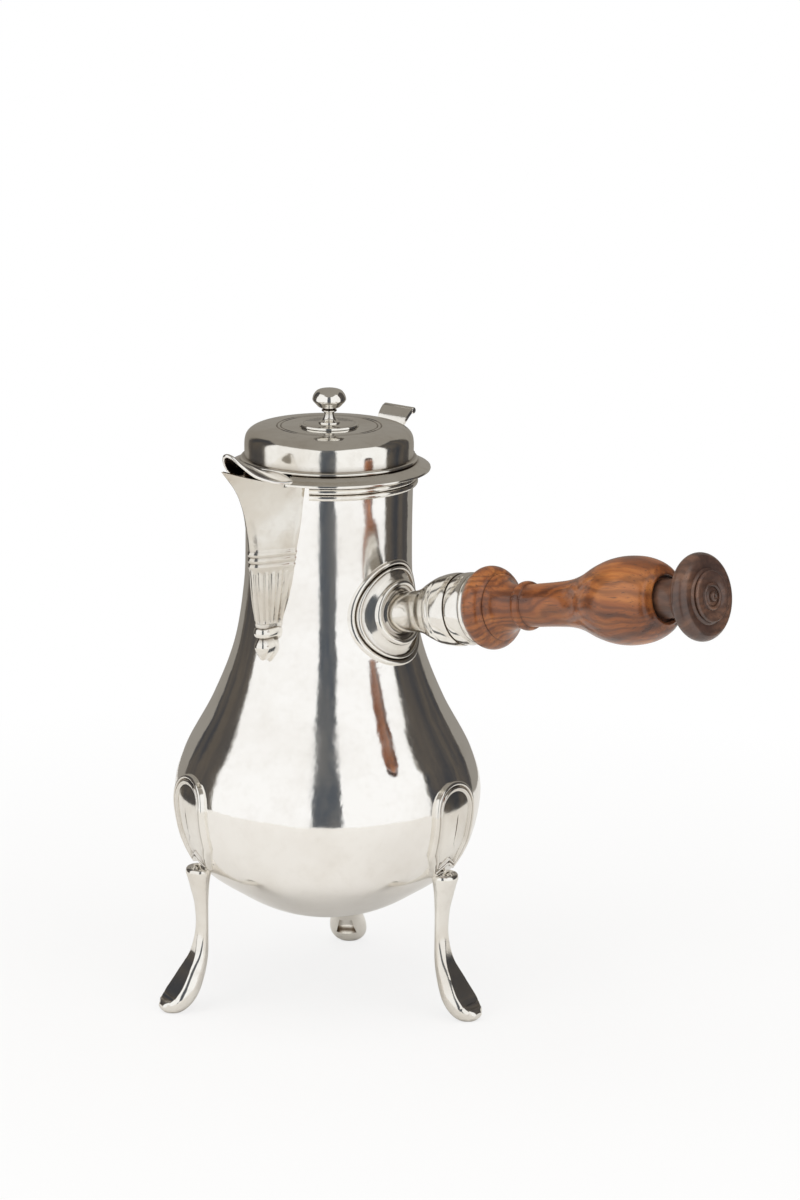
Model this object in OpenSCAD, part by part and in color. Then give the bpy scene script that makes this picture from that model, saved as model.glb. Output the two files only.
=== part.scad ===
// Silver chocolate pot on three legs, with a hinged lid, a swivelling finial over the stirrer hole
// and a turned wooden side handle. Z is up, the pot's axis is the Z axis and the table is at z = 0.
// The handle points along +X, the spout along -Y and the lid's hinge lies on the +Y side.

/* [Body] */
// Height of the body's rim above the table
rim_z = 213; // [208:0.5:218]
// Greatest radius of the belly
belly_r = 60.4; // [57:0.2:63]
// Height of the belly's widest ring
belly_z = 81; // [78:0.5:84]
// Radius of the neck
neck_r = 32.6; // [31.6:0.1:33.4]
// Height of the body's lowest point
bottom_z = 33; // [30:0.5:36]
// Thickness of the silver wall
wall = 1.2; // [0.8:0.1:1.5]

/* [Rim moulding] */
// Height of the reeded moulding
moulding_h = 5.8; // [5:0.1:7]
// How far the moulding stands out of the neck
moulding_out = 2.2; // [1.6:0.1:2.6]

/* [Spout] */
// Distance from the pot's axis to the tip of the beak
beak_reach = 63.4; // [60:0.2:66]
// How far the beak's tip rises above the rim
beak_rise = 8.6; // [6:0.2:10]
// Half of the beak's width where it meets the rim
beak_half_w = 14.2; // [13:0.1:15]
// Thickness of the beak's wall
beak_wall = 1; // [0.8:0.1:1.2]
// How far the top of the reeded band lies below the rim
band_drop = 25.5; // [24:0.5:27]
// How far the foot of the flutes lies below the rim
flute_drop = 55; // [53:0.5:57]
// Radius of the ball below the flutes
ball_r = 3.3; // [2.8:0.1:3.6]

/* [Legs] */
// How far the legs are turned from the handle, in degrees
leg_turn = 5.5; // [3:0.5:8]
// Distance from the pot's axis to the thick of the foot
foot_r = 62.6; // [61:0.2:65]
// Half of the foot's greatest width
foot_half_w = 7.4; // [6:0.1:8]
// Half of the stem's width
stem_half_w = 3.6; // [3:0.1:4]
// Half of the leg plate's width
plate_half_w = 13; // [11.5:0.5:14]
// Height of the top of the leg plates
plate_top_z = 95.5; // [92:0.5:100]
// Height of the foot of the leg plates
plate_foot_z = 58; // [57:0.5:60]
// Thickness of the leg plate's field
plate_t = 1.2; // [0.8:0.1:1.6]

/* [Handle] */
// How far below the rim the handle's axis would meet the pot's axis
handle_drop = 59.5; // [57:0.1:63]
// How far the handle rises outwards, in degrees
handle_tilt = 11.4; // [9:0.1:13]
// Radius of the rosette
rosette_r = 20.7; // [19:0.1:21]
// Radius of the socket's neck
socket_neck_r = 8.05; // [7.8:0.05:8.3]
// Distance from the pot's axis to the end of the socket
socket_end = 79.4; // [78.5:0.1:80.5]
// Radius of the grip's tenon inside the socket
tenon_r = 11.9; // [11:0.1:12]
// Greatest radius of the grip's bulb
bulb_r = 16.8; // [16:0.1:17.5]
// Radius of the end knob
knob_r = 16.6; // [15.5:0.1:17.5]
// Radius of the retaining pin
handle_pin_r = 1.1; // [0.8:0.1:1.3]

/* [Lid] */
// How far the lid's flange stands out past the neck
flange_out = 7.1; // [6.6:0.1:7.4]
// How far the lid's dome stands out past the neck
dome_out = 0.4; // [0:0.1:0.8]
// Height of the lid's top above the rim
dome_h = 17; // [15.5:0.5:18]
// Thickness of the lid's metal
lid_wall = 1.1; // [0.8:0.1:1.3]
// Depth of the bezel below the rim
bezel_depth = 5; // [4:0.5:7]
// Gap between the bezel and the neck's inside
bezel_gap = 0.75; // [0.6:0.05:0.9]
// Distance from the pot's axis to the front of the beak cover
cover_reach = 60; // [58:0.2:62]
// Thickness of the beak cover
cover_t = 0.8; // [0.6:0.1:1]
// How far the beak cover's front rises above the rim
cover_rise = 15; // [13:0.2:16]

/* [Hinge] */
// Radius of the hinge's knuckles
knuckle_r = 2; // [1.8:0.1:2.2]
// Length of the whole hinge
hinge_len = 15; // [13:0.5:17]
// Length of the lid's own knuckle
lid_knuckle_len = 6.4; // [5:0.2:7.5]
// Radius of the hinge pin
hinge_pin_r = 0.9; // [0.8:0.05:1]
// Width of the thumbpiece at its top
thumb_w = 15; // [13:0.5:17]
// How far the thumbpiece rises above the rim
thumb_h = 18.2; // [17:0.2:19.5]

/* [Stirrer hole] */
// Radius of the stirrer hole in the lid
hole_r = 6; // [5.2:0.1:6.3]
// Radius of the swivelling cover
swivel_r = 11.6; // [11.2:0.1:12]
// Thickness of the swivelling cover
swivel_t = 0.9; // [0.7:0.1:1.2]
// Radius of the swivel pin
swivel_pin_r = 1; // [0.8:0.1:1.1]
// Height of the finial above its cover
finial_h = 14; // [13:0.2:15]
// Radius of the finial's knob
finial_r = 6.55; // [6:0.05:7]

/* [Hidden] */
$fn = 96;
// Running gap between a pin and its hole
run_gap = 0.05;
// Small overlap that keeps a cut clean
eps = 0.01;
band_z = rim_z - band_drop;
flute_foot_z = rim_z - flute_drop;
handle_z = rim_z - handle_drop;
flange_r = neck_r + flange_out;
dome_r = neck_r + dome_out;
// Gap between the lid and the rim that it closes on
seat_gap = 0.15;
// Gap beside the lid's knuckle
knuckle_gap = 0.15;
silver = [0.86, 0.85, 0.82];
worn_silver = [0.7, 0.68, 0.63];
walnut = [0.5, 0.24, 0.1];
dark_walnut = [0.2, 0.12, 0.09];

// Curves

// One point of the smooth curve through four knots, between the second and the third
function curve_point(a, b, c, d, t) =
    0.5 * (2 * b + (c - a) * t + (2 * a - 5 * b + 4 * c - d) * t * t + (3 * b - a - 3 * c + d) * t * t * t);

// A smooth curve through all knots but the first and the last, which only steer its ends
function spline(knots, steps) =
    [for (i = [1:len(knots) - 3], s = [0:steps - 1])
        curve_point(knots[i - 1], knots[i], knots[i + 1], knots[i + 2], s / steps),
     knots[len(knots) - 2]];

// The same curve with its ends steered straight on
function open_spline(knots, steps) =
    spline(concat([2 * knots[0] - knots[1]], knots,
                  [2 * knots[len(knots) - 1] - knots[len(knots) - 2]]), steps);

// The direction to the right of a curve at its point i
function right_of(curve, i) =
    let (a = curve[max(i - 1, 0)], b = curve[min(i + 1, len(curve) - 1)], along = (b - a) / norm(b - a))
    [along[1], -along[0]];

// A curve moved sideways by d, to the right of its direction
function moved(curve, d) = [for (i = [0:len(curve) - 1]) curve[i] + d * right_of(curve, i)];

function reversed(list) = [for (i = [len(list) - 1:-1:0]) list[i]];

// A half-round reed of a turned profile: points from [r, z0] up to [r, z1], bulging out by d
function reed(r, z0, z1, d, steps = 8) =
    [for (i = [0:steps]) [r + d * sin(180 * i / steps), z0 + (z1 - z0) * (1 - cos(180 * i / steps)) / 2]];

// Triangles that close a ring of n points, whose first point is number first, in strips across it
function cap(first, n) =
    [for (j = [0:floor(n / 2) - 1]) let (a = first + j, b = first + n - 1 - j)
        each a + 1 < b - 1 ? [[a, a + 1, b], [a + 1, b - 1, b]] : a + 1 < b ? [[a, a + 1, b]] : []];

// A closed skin over rings of points, each ring with as many points as the next
module skin(rings) {
    n = len(rings[0]);
    sides = [for (i = [0:len(rings) - 2], j = [0:n - 1])
        let (a = i * n + j, b = i * n + (j + 1) % n)
        each [[a, b, b + n], [a, b + n, a + n]]];
    start = [for (f = cap(0, n)) [f[2], f[1], f[0]]];
    polyhedron([for (ring = rings, p = ring) p], concat(sides, start, cap((len(rings) - 1) * n, n)));
}

// Body

body_knots = [
    [-20, bottom_z + 3], [0, bottom_z], [20, bottom_z + 3], [37, bottom_z + 11.5],
    [belly_r - 6.8, belly_z - 23], [belly_r, belly_z], [belly_r - 3.5, belly_z + 18],
    [belly_r - 14.9, belly_z + 40], [neck_r + 4.5, rim_z - 70], [neck_r + 0.7, rim_z - 47],
    [neck_r, rim_z - 28], [neck_r + 0.4, rim_z], [neck_r + 1, rim_z + 20]];
body_curve = spline(body_knots, 6);
body_table = [for (p = body_curve) [p[1], p[0]]];
mouth_r = neck_r + 0.4 - wall;

// Radius of the body's outside at height z
function body_radius(z) = lookup(z, body_table);

// The body as a filled solid, grown by d
module body_solid(d = 0) {
    rotate_extrude()
        polygon(concat([[0, rim_z]], [[0, bottom_z - d]], [for (p = moved(body_curve, d)) if (p[0] > 0.5) p],
                       [[neck_r + 0.4 + d, rim_z]]));
}

module body_cavity() {
    inner = [for (p = moved(body_curve, -wall)) if (p[0] > 0.5 && p[1] < rim_z - 1) p];
    rotate_extrude()
        polygon(concat([[0, rim_z + 1]], [[0, bottom_z + wall]], inner, [[mouth_r, rim_z + 1]]));
}

// The opening in the neck behind the beak, wide at the rim and narrow at the reeded band
module beak_gap() {
    top_w = beak_half_w - 2.2;
    low_w = 8.2;
    floor_w = 4.5;
    floor_z = band_z - 11;
    translate([0, -neck_r + 8, 0]) rotate([90, 0, 0])
        linear_extrude(16)
            polygon([[-top_w, rim_z + 1], [top_w, rim_z + 1], [low_w, band_z - 2], [floor_w, floor_z],
                     [-floor_w, floor_z], [-low_w, band_z - 2]]);
}

module body_shell() {
    color(silver) difference() {
        body_solid();
        body_cavity();
        beak_gap();
    }
}

// Two reeds and a plain fillet round the neck, stopping at each side of the beak
module rim_moulding() {
    foot = rim_z - moulding_h;
    seat = neck_r + 0.2;
    stop = asin(beak_half_w / neck_r) + 1.5;
    reed_h = moulding_h * 0.4;
    top = rim_z - 0.1;
    color(silver) difference() {
        rotate([0, 0, -90 + stop]) rotate_extrude(angle = 360 - 2 * stop)
            polygon(concat([[seat - 1, top], [seat - 1, foot]],
                           reed(neck_r + moulding_out - 0.9, foot, foot + reed_h, 0.9),
                           reed(neck_r + moulding_out - 0.9, foot + reed_h, foot + 2 * reed_h, 0.9),
                           [[neck_r + moulding_out - 0.5, foot + 2 * reed_h], [neck_r + moulding_out - 0.5, top]]));
        body_solid();
    }
}

// Spout

band_h = 7.4;
band_foot_z = band_z - band_h;
flute_depth = 0.5;
flute_count = 7;
// Gap between the lid's flange and the beak beside it
flange_gap_r = 0.4;

// A station of the beak: keel reach, keel height, joint height, half-width, roundness, depth of the flutes
beak_foot = [neck_r + 10.4, flute_foot_z, flute_foot_z, 5.2, 2.2, 0];
beak_middle = [neck_r + 12.3, (flute_foot_z + band_foot_z) / 2, (flute_foot_z + band_foot_z) / 2, 8, 2.1, 0];
beak_band_foot = [neck_r + 13.4, band_foot_z, band_foot_z, 9.6, 1.9, 0];
beak_band_top = [neck_r + 14, band_z, band_z, 10.6, 1.8, 0];
beak_upper = [
    beak_band_top,
    [neck_r + 15.6, band_z + 8.5, band_z + 7.5, 12.2, 1.6, 0],
    [beak_reach - 12.8, rim_z - 8.5, rim_z - 12, beak_half_w - 1.1, 1.45, 0],
    [beak_reach - 8, rim_z, rim_z - 6, beak_half_w - 0.5, 1.35, 0],
    [beak_reach, rim_z + beak_rise, rim_z - 0.6, beak_half_w, 1.28, 0]];
fluted = [0, 0, 0, 0, 0, flute_depth];
beak_flutes = open_spline([beak_foot + [0.2, 1, 1, 0.2, 0, flute_depth], beak_middle + fluted,
                           beak_band_foot + [0, -1, -1, 0, 0, flute_depth]], 3);

// The reeded band: three round reeds, each a bulge of the stations between the flutes and the plain beak
reeds = 3;
reed_steps = 4;
reed_out = 0.6;
beak_band = [for (i = [0:reeds * reed_steps]) let (t = i / (reeds * reed_steps), bulge = reed_out * abs(sin(180 * reeds * t)))
    (1 - t) * beak_band_foot + t * beak_band_top + [bulge, 0, 0, 0.6 * bulge, 0, 0]];
beak_curve = concat([beak_foot], beak_flutes, beak_band, open_spline(beak_upper, 3));

// How far round the beak's section a point lies: 0 on the keel and 1 at the joint
function round_share(w, depth, power, u) =
    sqrt(pow(w * u, 2) + pow(depth * pow(abs(u), power), 2)) / sqrt(w * w + depth * depth);

// One point of the beak: u runs from -1 to 1 across it, and inset moves it towards the inside
function beak_point(station, u, inset) =
    let (w = station[3] - inset, root = sqrt(neck_r * neck_r - w * w) - 3, depth = station[0] - 1.3 * inset - root,
         f = 1 - pow(abs(u), station[4]), share = round_share(w, depth, station[4], u),
         groove = station[5] * pow(abs(sin(180 * flute_count * share)), 4))
    [(w - groove) * u, -(root + depth * f - groove * f), station[2] + (station[1] - station[2]) * pow(f, 1.5)];

// Steps across the beak: u runs faster near the keel, so that the points lie evenly round the section
function beak_step(i, steps) = let (t = -1 + 2 * i / steps) sign(t) * pow(abs(t), 0.8);

function beak_ring(station, inset, steps) =
    concat([[-0.6 * station[3], -12, station[2]]],
           [for (i = [0:steps]) beak_point(station, beak_step(i, steps), inset)],
           [[0.6 * station[3], -12, station[2]]]);

module beak_outside() {
    skin([for (s = reversed(beak_curve)) beak_ring(s, 0, 8 * flute_count)]);
}

module beak_inside() {
    floor_z = flute_foot_z + 5;
    floor = beak_middle + [-0.6, floor_z - beak_middle[1], floor_z - beak_middle[2], -1, 0, 0];
    lip = beak_upper[len(beak_upper) - 1];
    hollow = open_spline(concat([floor, beak_band_foot], beak_upper), 3);
    above = lip + [1.5, 6, 6, 0, 0, 0];
    skin([for (s = reversed(concat(hollow, [above]))) beak_ring(s, beak_wall, 18)]);
}

module spout() {
    color(silver) difference() {
        beak_outside();
        beak_inside();
        body_solid();
        translate([0, 0, rim_z]) cylinder(r = flange_r + flange_gap_r, h = 20);
    }
}

// The small collar and pointed drop below the flutes, with their backs carried in to the body
module spout_drop() {
    drop_z = flute_foot_z - 10;
    neck = 1.9;
    collar_r = 3.6;
    drop_out = neck_r + 6.6;
    outline = concat([[0, drop_z - 4.9], [0.7, drop_z - 4.9]],
                     open_spline([[1.6, drop_z - 3.6], [ball_r - 0.5, drop_z - 1.4], [ball_r, drop_z + 0.6],
                                  [ball_r - 0.5, drop_z + 2.2], [neck, drop_z + 3.8]], 3),
                     reed(collar_r - 0.9, drop_z + 4.4, drop_z + 8.2, 0.9),
                     [[collar_r - 0.4, flute_foot_z], [0, flute_foot_z]]);
    color(silver) difference() {
        translate([0, -drop_out, 0]) {
            rotate_extrude() polygon(outline);
            rotate([90, 0, 180]) linear_extrude(6)
                polygon(concat(outline, [for (p = reversed(outline)) [-p[0], p[1]]]));
        }
        body_solid();
    }
}

// Legs

// Distance of the legs' cuffs from the pot's axis, which follows the belly
cuff_r = belly_r - 4.2;

// Each station of a leg, from the cuff down: distance out, height, half thickness, half width, flatness of the front
leg_stations = [
    [cuff_r, plate_foot_z + 0.4, 2.2, 2.6, 1],
    [cuff_r - 0.1, plate_foot_z - 1, 5, 5.8, 1],
    [cuff_r - 0.6, 50, 3.8, 5, 1],
    [cuff_r - 1.4, 42, 2.6, stem_half_w + 0.4, 1],
    [cuff_r - 1.6, 32, 2.5, stem_half_w, 0.95],
    [foot_r - 6.6, 22, 3.9, stem_half_w + 0.8, 0.72],
    [foot_r - 3.4, 14.6, 5.6, foot_half_w - 1.4, 0.6],
    [foot_r, 8.7, 6.2, foot_half_w, 0.56],
    [foot_r + 3.8, 4.6, 5.6, foot_half_w - 0.2, 0.56],
    [foot_r + 7.4, 2.9, 3.8, foot_half_w - 2, 0.6],
    [foot_r + 9.6, 2.4, 1.5, 2.4, 1]];
leg_curve = open_spline(leg_stations, 2);

// A ring round station i of the leg, square to its path, with a flat facet down the front of the foot
function leg_ring(i, steps = 20) =
    let (s = leg_curve[i], path = [for (p = leg_curve) [p[0], p[1]]], out = right_of(path, i) * -1)
    [for (k = [0:steps - 1])
        let (a = 360 * k / steps, t = s[2] * min(0.92 * cos(a), s[4]), w = s[3] * sin(a))
        [s[0] + out[0] * t, w, s[1] + out[1] * t]];

// The legs were set by eye, so they are not evenly spaced
leg_angles = [leg_turn, leg_turn + 117, leg_turn + 240];

// The shallow hollow in the inner side of the foot
module foot_pocket() {
    depth = 2.6;
    lean = 63;
    half_foot = foot_half_w * 0.56;
    half_head = foot_half_w * 0.34;
    height = 7.4;
    translate([foot_r - 5.3, 0, 4.6]) rotate([0, lean, 0]) rotate([0, 0, 90])
        linear_extrude(depth + 1)
            polygon([[-half_foot, 0], [half_foot, 0], [half_head, height], [-half_head, height]]);
}

module leg(angle) {
    table_w = 200;
    table_t = 20;
    color(silver) rotate([0, 0, angle]) difference() {
        skin([for (i = [0:len(leg_curve) - 1]) leg_ring(i)]);
        translate([-table_w / 2, -table_w / 2, -table_t]) cube([table_w, table_w, table_t]);
        body_solid();
        leg_plate_form();
        foot_pocket();
    }
}

// Outline of a leg plate seen from outside: a round-headed shield with a notched foot
function shield(half_w, foot, top) =
    let (shoulder = top - half_w)
    concat([[-half_w * 0.55, foot], [0, foot + 3.4], [half_w * 0.55, foot], [half_w * 0.96, foot + 9]],
           [for (a = [0:10:180]) [half_w * cos(a), shoulder + half_w * pow(sin(a), 0.8)]],
           [[-half_w * 0.96, foot + 9]]);

// A radial prism through the shield's outline
module shield_prism(half_w, foot, top) {
    rotate([90, 0, 90]) linear_extrude(belly_r + 20) polygon(shield(half_w, foot, top));
}

module leg_plate_form() {
    border = 3.6;
    border_t = 0.8;
    intersection() {
        body_solid(plate_t);
        shield_prism(plate_half_w, plate_foot_z, plate_top_z);
    }
    intersection() {
        body_solid(plate_t + border_t);
        difference() {
            shield_prism(plate_half_w, plate_foot_z, plate_top_z);
            shield_prism(plate_half_w - border, plate_foot_z + border, plate_top_z - border);
        }
    }
}

module leg_plate(angle) {
    color(silver) rotate([0, 0, angle]) difference() {
        leg_plate_form();
        body_solid();
    }
}

module leg_under_handle() { leg(leg_angles[0]); }
module leg_by_hinge() { leg(leg_angles[1]); }
module leg_by_spout() { leg(leg_angles[2]); }
module plate_under_handle() { leg_plate(leg_angles[0]); }
module plate_by_hinge() { leg_plate(leg_angles[1]); }
module plate_by_spout() { leg_plate(leg_angles[2]); }

// Handle

// Places a piece turned about Z on the handle's axis, with its height as the distance from the pot's axis
module on_handle() {
    translate([0, 0, handle_z]) rotate([0, 90 - handle_tilt, 0]) children();
}

rosette_hole_r = socket_neck_r + 0.2;

// Distance along the handle's axis at which the body's skin lies, at rho from the axis and angle a round it
function skin_at(rho, a) =
    let (r = body_radius(handle_z + neck_r * sin(handle_tilt) - rho * cos(a)))
    (sqrt(r * r - pow(rho * sin(a), 2)) - rho * cos(a) * sin(handle_tilt)) / cos(handle_tilt);

// The rosette's section from its edge inwards: distance from the axis and height over the body's skin
rosette_section = concat(
    [[rosette_r, -4]],
    reed(0, rosette_r, rosette_r - 2.4, 1.3, 4) * [[0, 1], [1, 0]],
    reed(0.9, rosette_r - 2.6, rosette_r - 4, 0.8, 3) * [[0, 1], [1, 0]],
    [[rosette_r - 5.4, 1.5], [rosette_r - 7, 2.6]],
    reed(3.2, 12.8, 10.4, 1.4, 4) * [[0, 1], [1, 0]],
    [[9.6, 2.6], [rosette_hole_r, 3.6], [rosette_hole_r, -4]]);

module handle_rosette() {
    steps = 36;
    ring_count = len(rosette_section);
    points = [for (q = rosette_section, k = [0:steps - 1])
        let (a = 360 * k / steps) [q[0] * cos(a), q[0] * sin(a), skin_at(q[0], a) + q[1]]];
    faces = [for (i = [0:ring_count - 1], k = [0:steps - 1])
        let (a = i * steps + k, b = i * steps + (k + 1) % steps,
             c = (i + 1) % ring_count * steps + (k + 1) % steps, d = (i + 1) % ring_count * steps + k)
        each [[a, c, b], [a, d, c]]];
    color(silver) difference() {
        on_handle() polyhedron(points, faces);
        body_solid();
    }
}

bore_gap = 0.05;
socket_bell_r = socket_neck_r + 6.1;
socket_knots = [[rosette_hole_r - 0.1, 25], [rosette_hole_r - 0.1, 38], [socket_neck_r, 46], [socket_neck_r + 1.1, 51.2],
    [socket_neck_r + 3.2, 55.6], [socket_bell_r - 0.9, 60.8], [socket_bell_r, 66.5], [socket_bell_r - 0.2, 70]];

module handle_socket() {
    bore_r = tenon_r + bore_gap;
    bore_start = 64;
    outline = concat([[0, 30]], [for (p = open_spline(socket_knots, 6)) if (p[1] >= 30) p],
        reed(socket_bell_r - 0.8, 70, socket_end - 2, 0.7),
        reed(socket_bell_r - 0.8, socket_end - 2, socket_end, 0.5),
        [[bore_r, socket_end], [bore_r, bore_start], [bore_r - 1.4, bore_start - 3], [5.6, 50], [0, 48]]);
    color(silver) difference() {
        on_handle() rotate_extrude() polygon([for (p = outline) [p[0], p[1]]]);
        body_solid();
        handle_pin_form(handle_pin_r);
    }
}

handle_pin_at = socket_end - 5;
handle_pin_roll = 32;

// The retaining pin runs across the socket, low on the side that faces the spout
module handle_pin_form(r) {
    half = socket_bell_r - 0.05;
    on_handle() translate([0, 0, handle_pin_at]) rotate([0, 90, -handle_pin_roll])
        cylinder(r = r, h = 2 * half, center = true);
}

module handle_pin() {
    color(worn_silver) handle_pin_form(handle_pin_r);
}

spigot_r = 5;
spigot_start = 150;
grip_end = 168;
knob_neck_r = 7.6;

module handle_grip() {
    bun_r = 16.1;
    bun = [for (a = [-60:10:75]) [bun_r - 5.2 + 5.2 * cos(a), 83.9 + 5.2 * sin(a)]];
    cove = open_spline([[12.6, 89.2], [10.4, 91.4], [8.9, 94.5], [8.3, 99.2]], 4);
    neck = open_spline([[8.2, 104], [8.5, 116], [9.2, 124.5], [11, 131], [14.1, 138], [16.1, 144.6],
                        [bulb_r, 151.6], [16, 159.4], [13.4, 165.6], [9.9, grip_end]], 4);
    outline = concat(
        [[0, 65], [tenon_r, 65], [tenon_r, socket_end + eps], [13.2, socket_end + eps]], bun, cove,
        reed(8.4, 99.4, 103.6, 1.1), neck,
        [[knob_neck_r + 1.2, grip_end], [knob_neck_r + 1.2, grip_end - 1.6], [spigot_r + bore_gap, grip_end - 1.6],
         [spigot_r + bore_gap, spigot_start], [0, spigot_start]]);
    color(walnut) difference() {
        on_handle() rotate_extrude() polygon(outline);
        handle_pin_form(handle_pin_r);
    }
}

module handle_end_knob() {
    edge = 3.5;
    disc_at = 184;
    face = disc_at + edge;
    neck = open_spline([[knob_neck_r, grip_end - 1.6 + eps], [knob_neck_r - 0.2, 173], [knob_neck_r + 0.9, 178.6]], 4);
    rim = [for (a = [-90:12:90]) [knob_r - edge + edge * cos(a), disc_at + edge * sin(a)]];
    outline = concat([[0, spigot_start + 1], [spigot_r, spigot_start + 1], [spigot_r, grip_end - 1.6 + eps]], neck, rim,
        [[11, face - 0.2], [10, face + 0.5]], reed(8.9, face + 0.6, face + 2, 0.8),
        [[5.4, face + 1.4], [5, face + 2.3], [3, face + 1.9], [1.6, face + 2.9], [0, face + 3.1]]);
    color(dark_walnut) on_handle() rotate_extrude() polygon(outline);
}

// Lid

lid_under = rim_z + seat_gap;
lid_top = rim_z + dome_h;
bezel_r = mouth_r - bezel_gap;
lid_outline = concat(
    [[flange_r - 0.5, lid_under], [flange_r, lid_under + 0.5], [flange_r - 0.4, lid_under + 1.2]],
    open_spline([[flange_r - 1, lid_under + 1.4], [dome_r + 4, lid_under + 2.2], [dome_r + 2.2, lid_under + 3.2]], 3),
    reed(dome_r + 0.7, lid_under + 3.3, lid_under + 4.9, 0.9),
    open_spline([[dome_r, lid_under + 5.1], [dome_r, lid_top - 6], [dome_r - 0.9, lid_top - 3], [dome_r - 3.4, lid_top - 1.1],
                 [dome_r - 8, lid_top - 0.25], [swivel_r + 10, lid_top]], 4));
lid_inside = [[dome_r - lid_wall, lid_under + 4.6], [dome_r - lid_wall, lid_top - 6.4], [dome_r - 2, lid_top - 3.8],
    [dome_r - 4.6, lid_top - 2.1], [dome_r - 9, lid_top - 1.3], [swivel_r + 9, lid_top - lid_wall]];

module lid_solid() {
    rotate_extrude() polygon(concat([[0, lid_under]], lid_outline, [[0, lid_top]]));
}

module lid_hollow() {
    rotate_extrude()
        polygon(concat([[0, lid_under - 1], [bezel_r, lid_under - 1], [bezel_r, lid_under + 2.6]], lid_inside,
                       [[0, lid_top - lid_wall]]));
}

// The swivel pin stands behind the finial, turned from the hinge's side
pivot_out = swivel_r - 2.3;
pivot_turn = 39.4;
pivot = [-pivot_out * sin(pivot_turn), pivot_out * cos(pivot_turn), 0];

// The part of the flange that is cut away below the beak cover
module flange_gap() {
    near_w = 10.6;
    far_w = 7.6;
    translate([0, 0, lid_under - 1]) linear_extrude(5)
        polygon([[-near_w, -dome_r + 5], [near_w, -dome_r + 5], [far_w, -flange_r - 1], [-far_w, -flange_r - 1]]);
}

module lid() {
    ring_r = 19.4;
    color(silver) difference() {
        lid_solid();
        lid_hollow();
        flange_gap();
        translate([0, 0, lid_top - 5]) cylinder(r = hole_r, h = 10);
        translate(pivot + [0, 0, lid_top - 5]) cylinder(r = swivel_pin_r, h = 10);
        translate([0, 0, lid_top]) rotate_extrude() translate([ring_r, 0]) circle(r = 0.25);
    }
}

// The ring inside the neck, open behind the beak
module lid_bezel() {
    t = 0.8;
    gap = 28;
    foot = rim_z - bezel_depth;
    color(silver) rotate([0, 0, -90 + gap]) rotate_extrude(angle = 360 - 2 * gap)
        polygon([[bezel_r - t, lid_under + 2.6], [bezel_r - t - 0.3, foot], [bezel_r - 0.3, foot],
                 [bezel_r, lid_under - 0.6], [bezel_r, lid_under + 2.6]]);
}

// Each station of the beak cover: reach, half-width, edge height and crest height over the rim
cover_stations = [
    [dome_r + 0.6, 12.2, 2, 4.4],
    [flange_r, 11.2, 2.3, 5.2],
    [cover_reach - 15, 9.6, 3.4, 7.2],
    [cover_reach - 8.6, 7, 6.2, 10.6],
    [cover_reach - 3.4, 4.6, 10.6, 13.4],
    [cover_reach - 1, 2.6, 13.6, cover_rise - 0.2],
    [cover_reach, 0.8, cover_rise - 0.4, cover_rise]];
cover_curve = open_spline(cover_stations, 3);

// One arch of the beak cover, as a closed ring of its given thickness
function cover_ring(s, t, steps = 14) =
    let (arch = [for (i = [0:steps]) let (u = -1 + 2 * i / steps)
        [s[1] * u, -s[0], rim_z + s[2] + (s[3] - s[2]) * (1 - pow(abs(u), 2.4))]])
    concat(arch, [for (p = reversed(arch)) [p[0] * max(0.3, 1 - t / s[1]), p[1], p[2] - t]]);

module beak_cover() {
    color(silver) difference() {
        skin([for (s = cover_curve) cover_ring(s, cover_t)]);
        lid_solid();
    }
}

// Hinge and thumbpiece

hinge_y = flange_r + 2.2;
hinge_z = rim_z - 0.4;

module hinge_barrel(len, r) {
    translate([0, hinge_y, hinge_z]) rotate([0, 90, 0]) cylinder(r = r, h = len, center = true);
}

// Two knuckles on a bracket that is soldered to the rim moulding
module hinge_bracket() {
    pin_hole_r = hinge_pin_r;
    arm_top = hinge_z - 0.3;
    gap = lid_knuckle_len + 2 * knuckle_gap;
    neck_z = rim_z - 23;
    color(silver) difference() {
        union() {
            hinge_barrel(hinge_len, knuckle_r);
            translate([-hinge_len / 2, 0, 0]) rotate([90, 0, 90]) linear_extrude(hinge_len)
                polygon([[neck_r - 2, arm_top], [hinge_y, arm_top], [hinge_y + knuckle_r * 0.8, hinge_z - 1.2],
                         [neck_r + 3.4, rim_z - moulding_h - 3], [neck_r - 2, rim_z - moulding_h - 5]]);
        }
        hinge_barrel(hinge_len + 2, pin_hole_r);
        translate([-gap / 2, hinge_y - knuckle_r - 0.4, hinge_z - 8]) cube([gap, 20, 16]);
        rotate_extrude() polygon([[0, neck_z], [neck_r + moulding_out + 0.4, neck_z],
                                  [neck_r + moulding_out + 0.4, rim_z + 5], [0, rim_z + 5]]);
    }
    color(silver) difference() {
        intersection() {
            translate([-hinge_len / 2, neck_r - 2, rim_z - moulding_h - 4]) cube([hinge_len, 8, 3.9]);
            rotate_extrude() polygon([[0, neck_z], [neck_r + moulding_out + 0.4, neck_z],
                                      [neck_r + moulding_out + 0.4, rim_z - moulding_h], [0, rim_z - moulding_h]]);
        }
        body_solid();
    }
}

module hinge_pin() {
    color(worn_silver) hinge_barrel(hinge_len + 0.6, hinge_pin_r);
}

// The lid's own knuckle and the leaf that lies on the flange
module lid_hinge_leaf() {
    leaf_t = 1.3;
    leaf_in = dome_r + 2;
    color(silver) difference() {
        union() {
            hinge_barrel(lid_knuckle_len, knuckle_r);
            translate([-lid_knuckle_len / 2, leaf_in, hinge_z - 0.2])
                cube([lid_knuckle_len, hinge_y - leaf_in + knuckle_r - 0.2, lid_under + 1.7 + leaf_t - hinge_z]);
        }
        hinge_barrel(hinge_len, hinge_pin_r + run_gap);
        lid_solid();
    }
}

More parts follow.
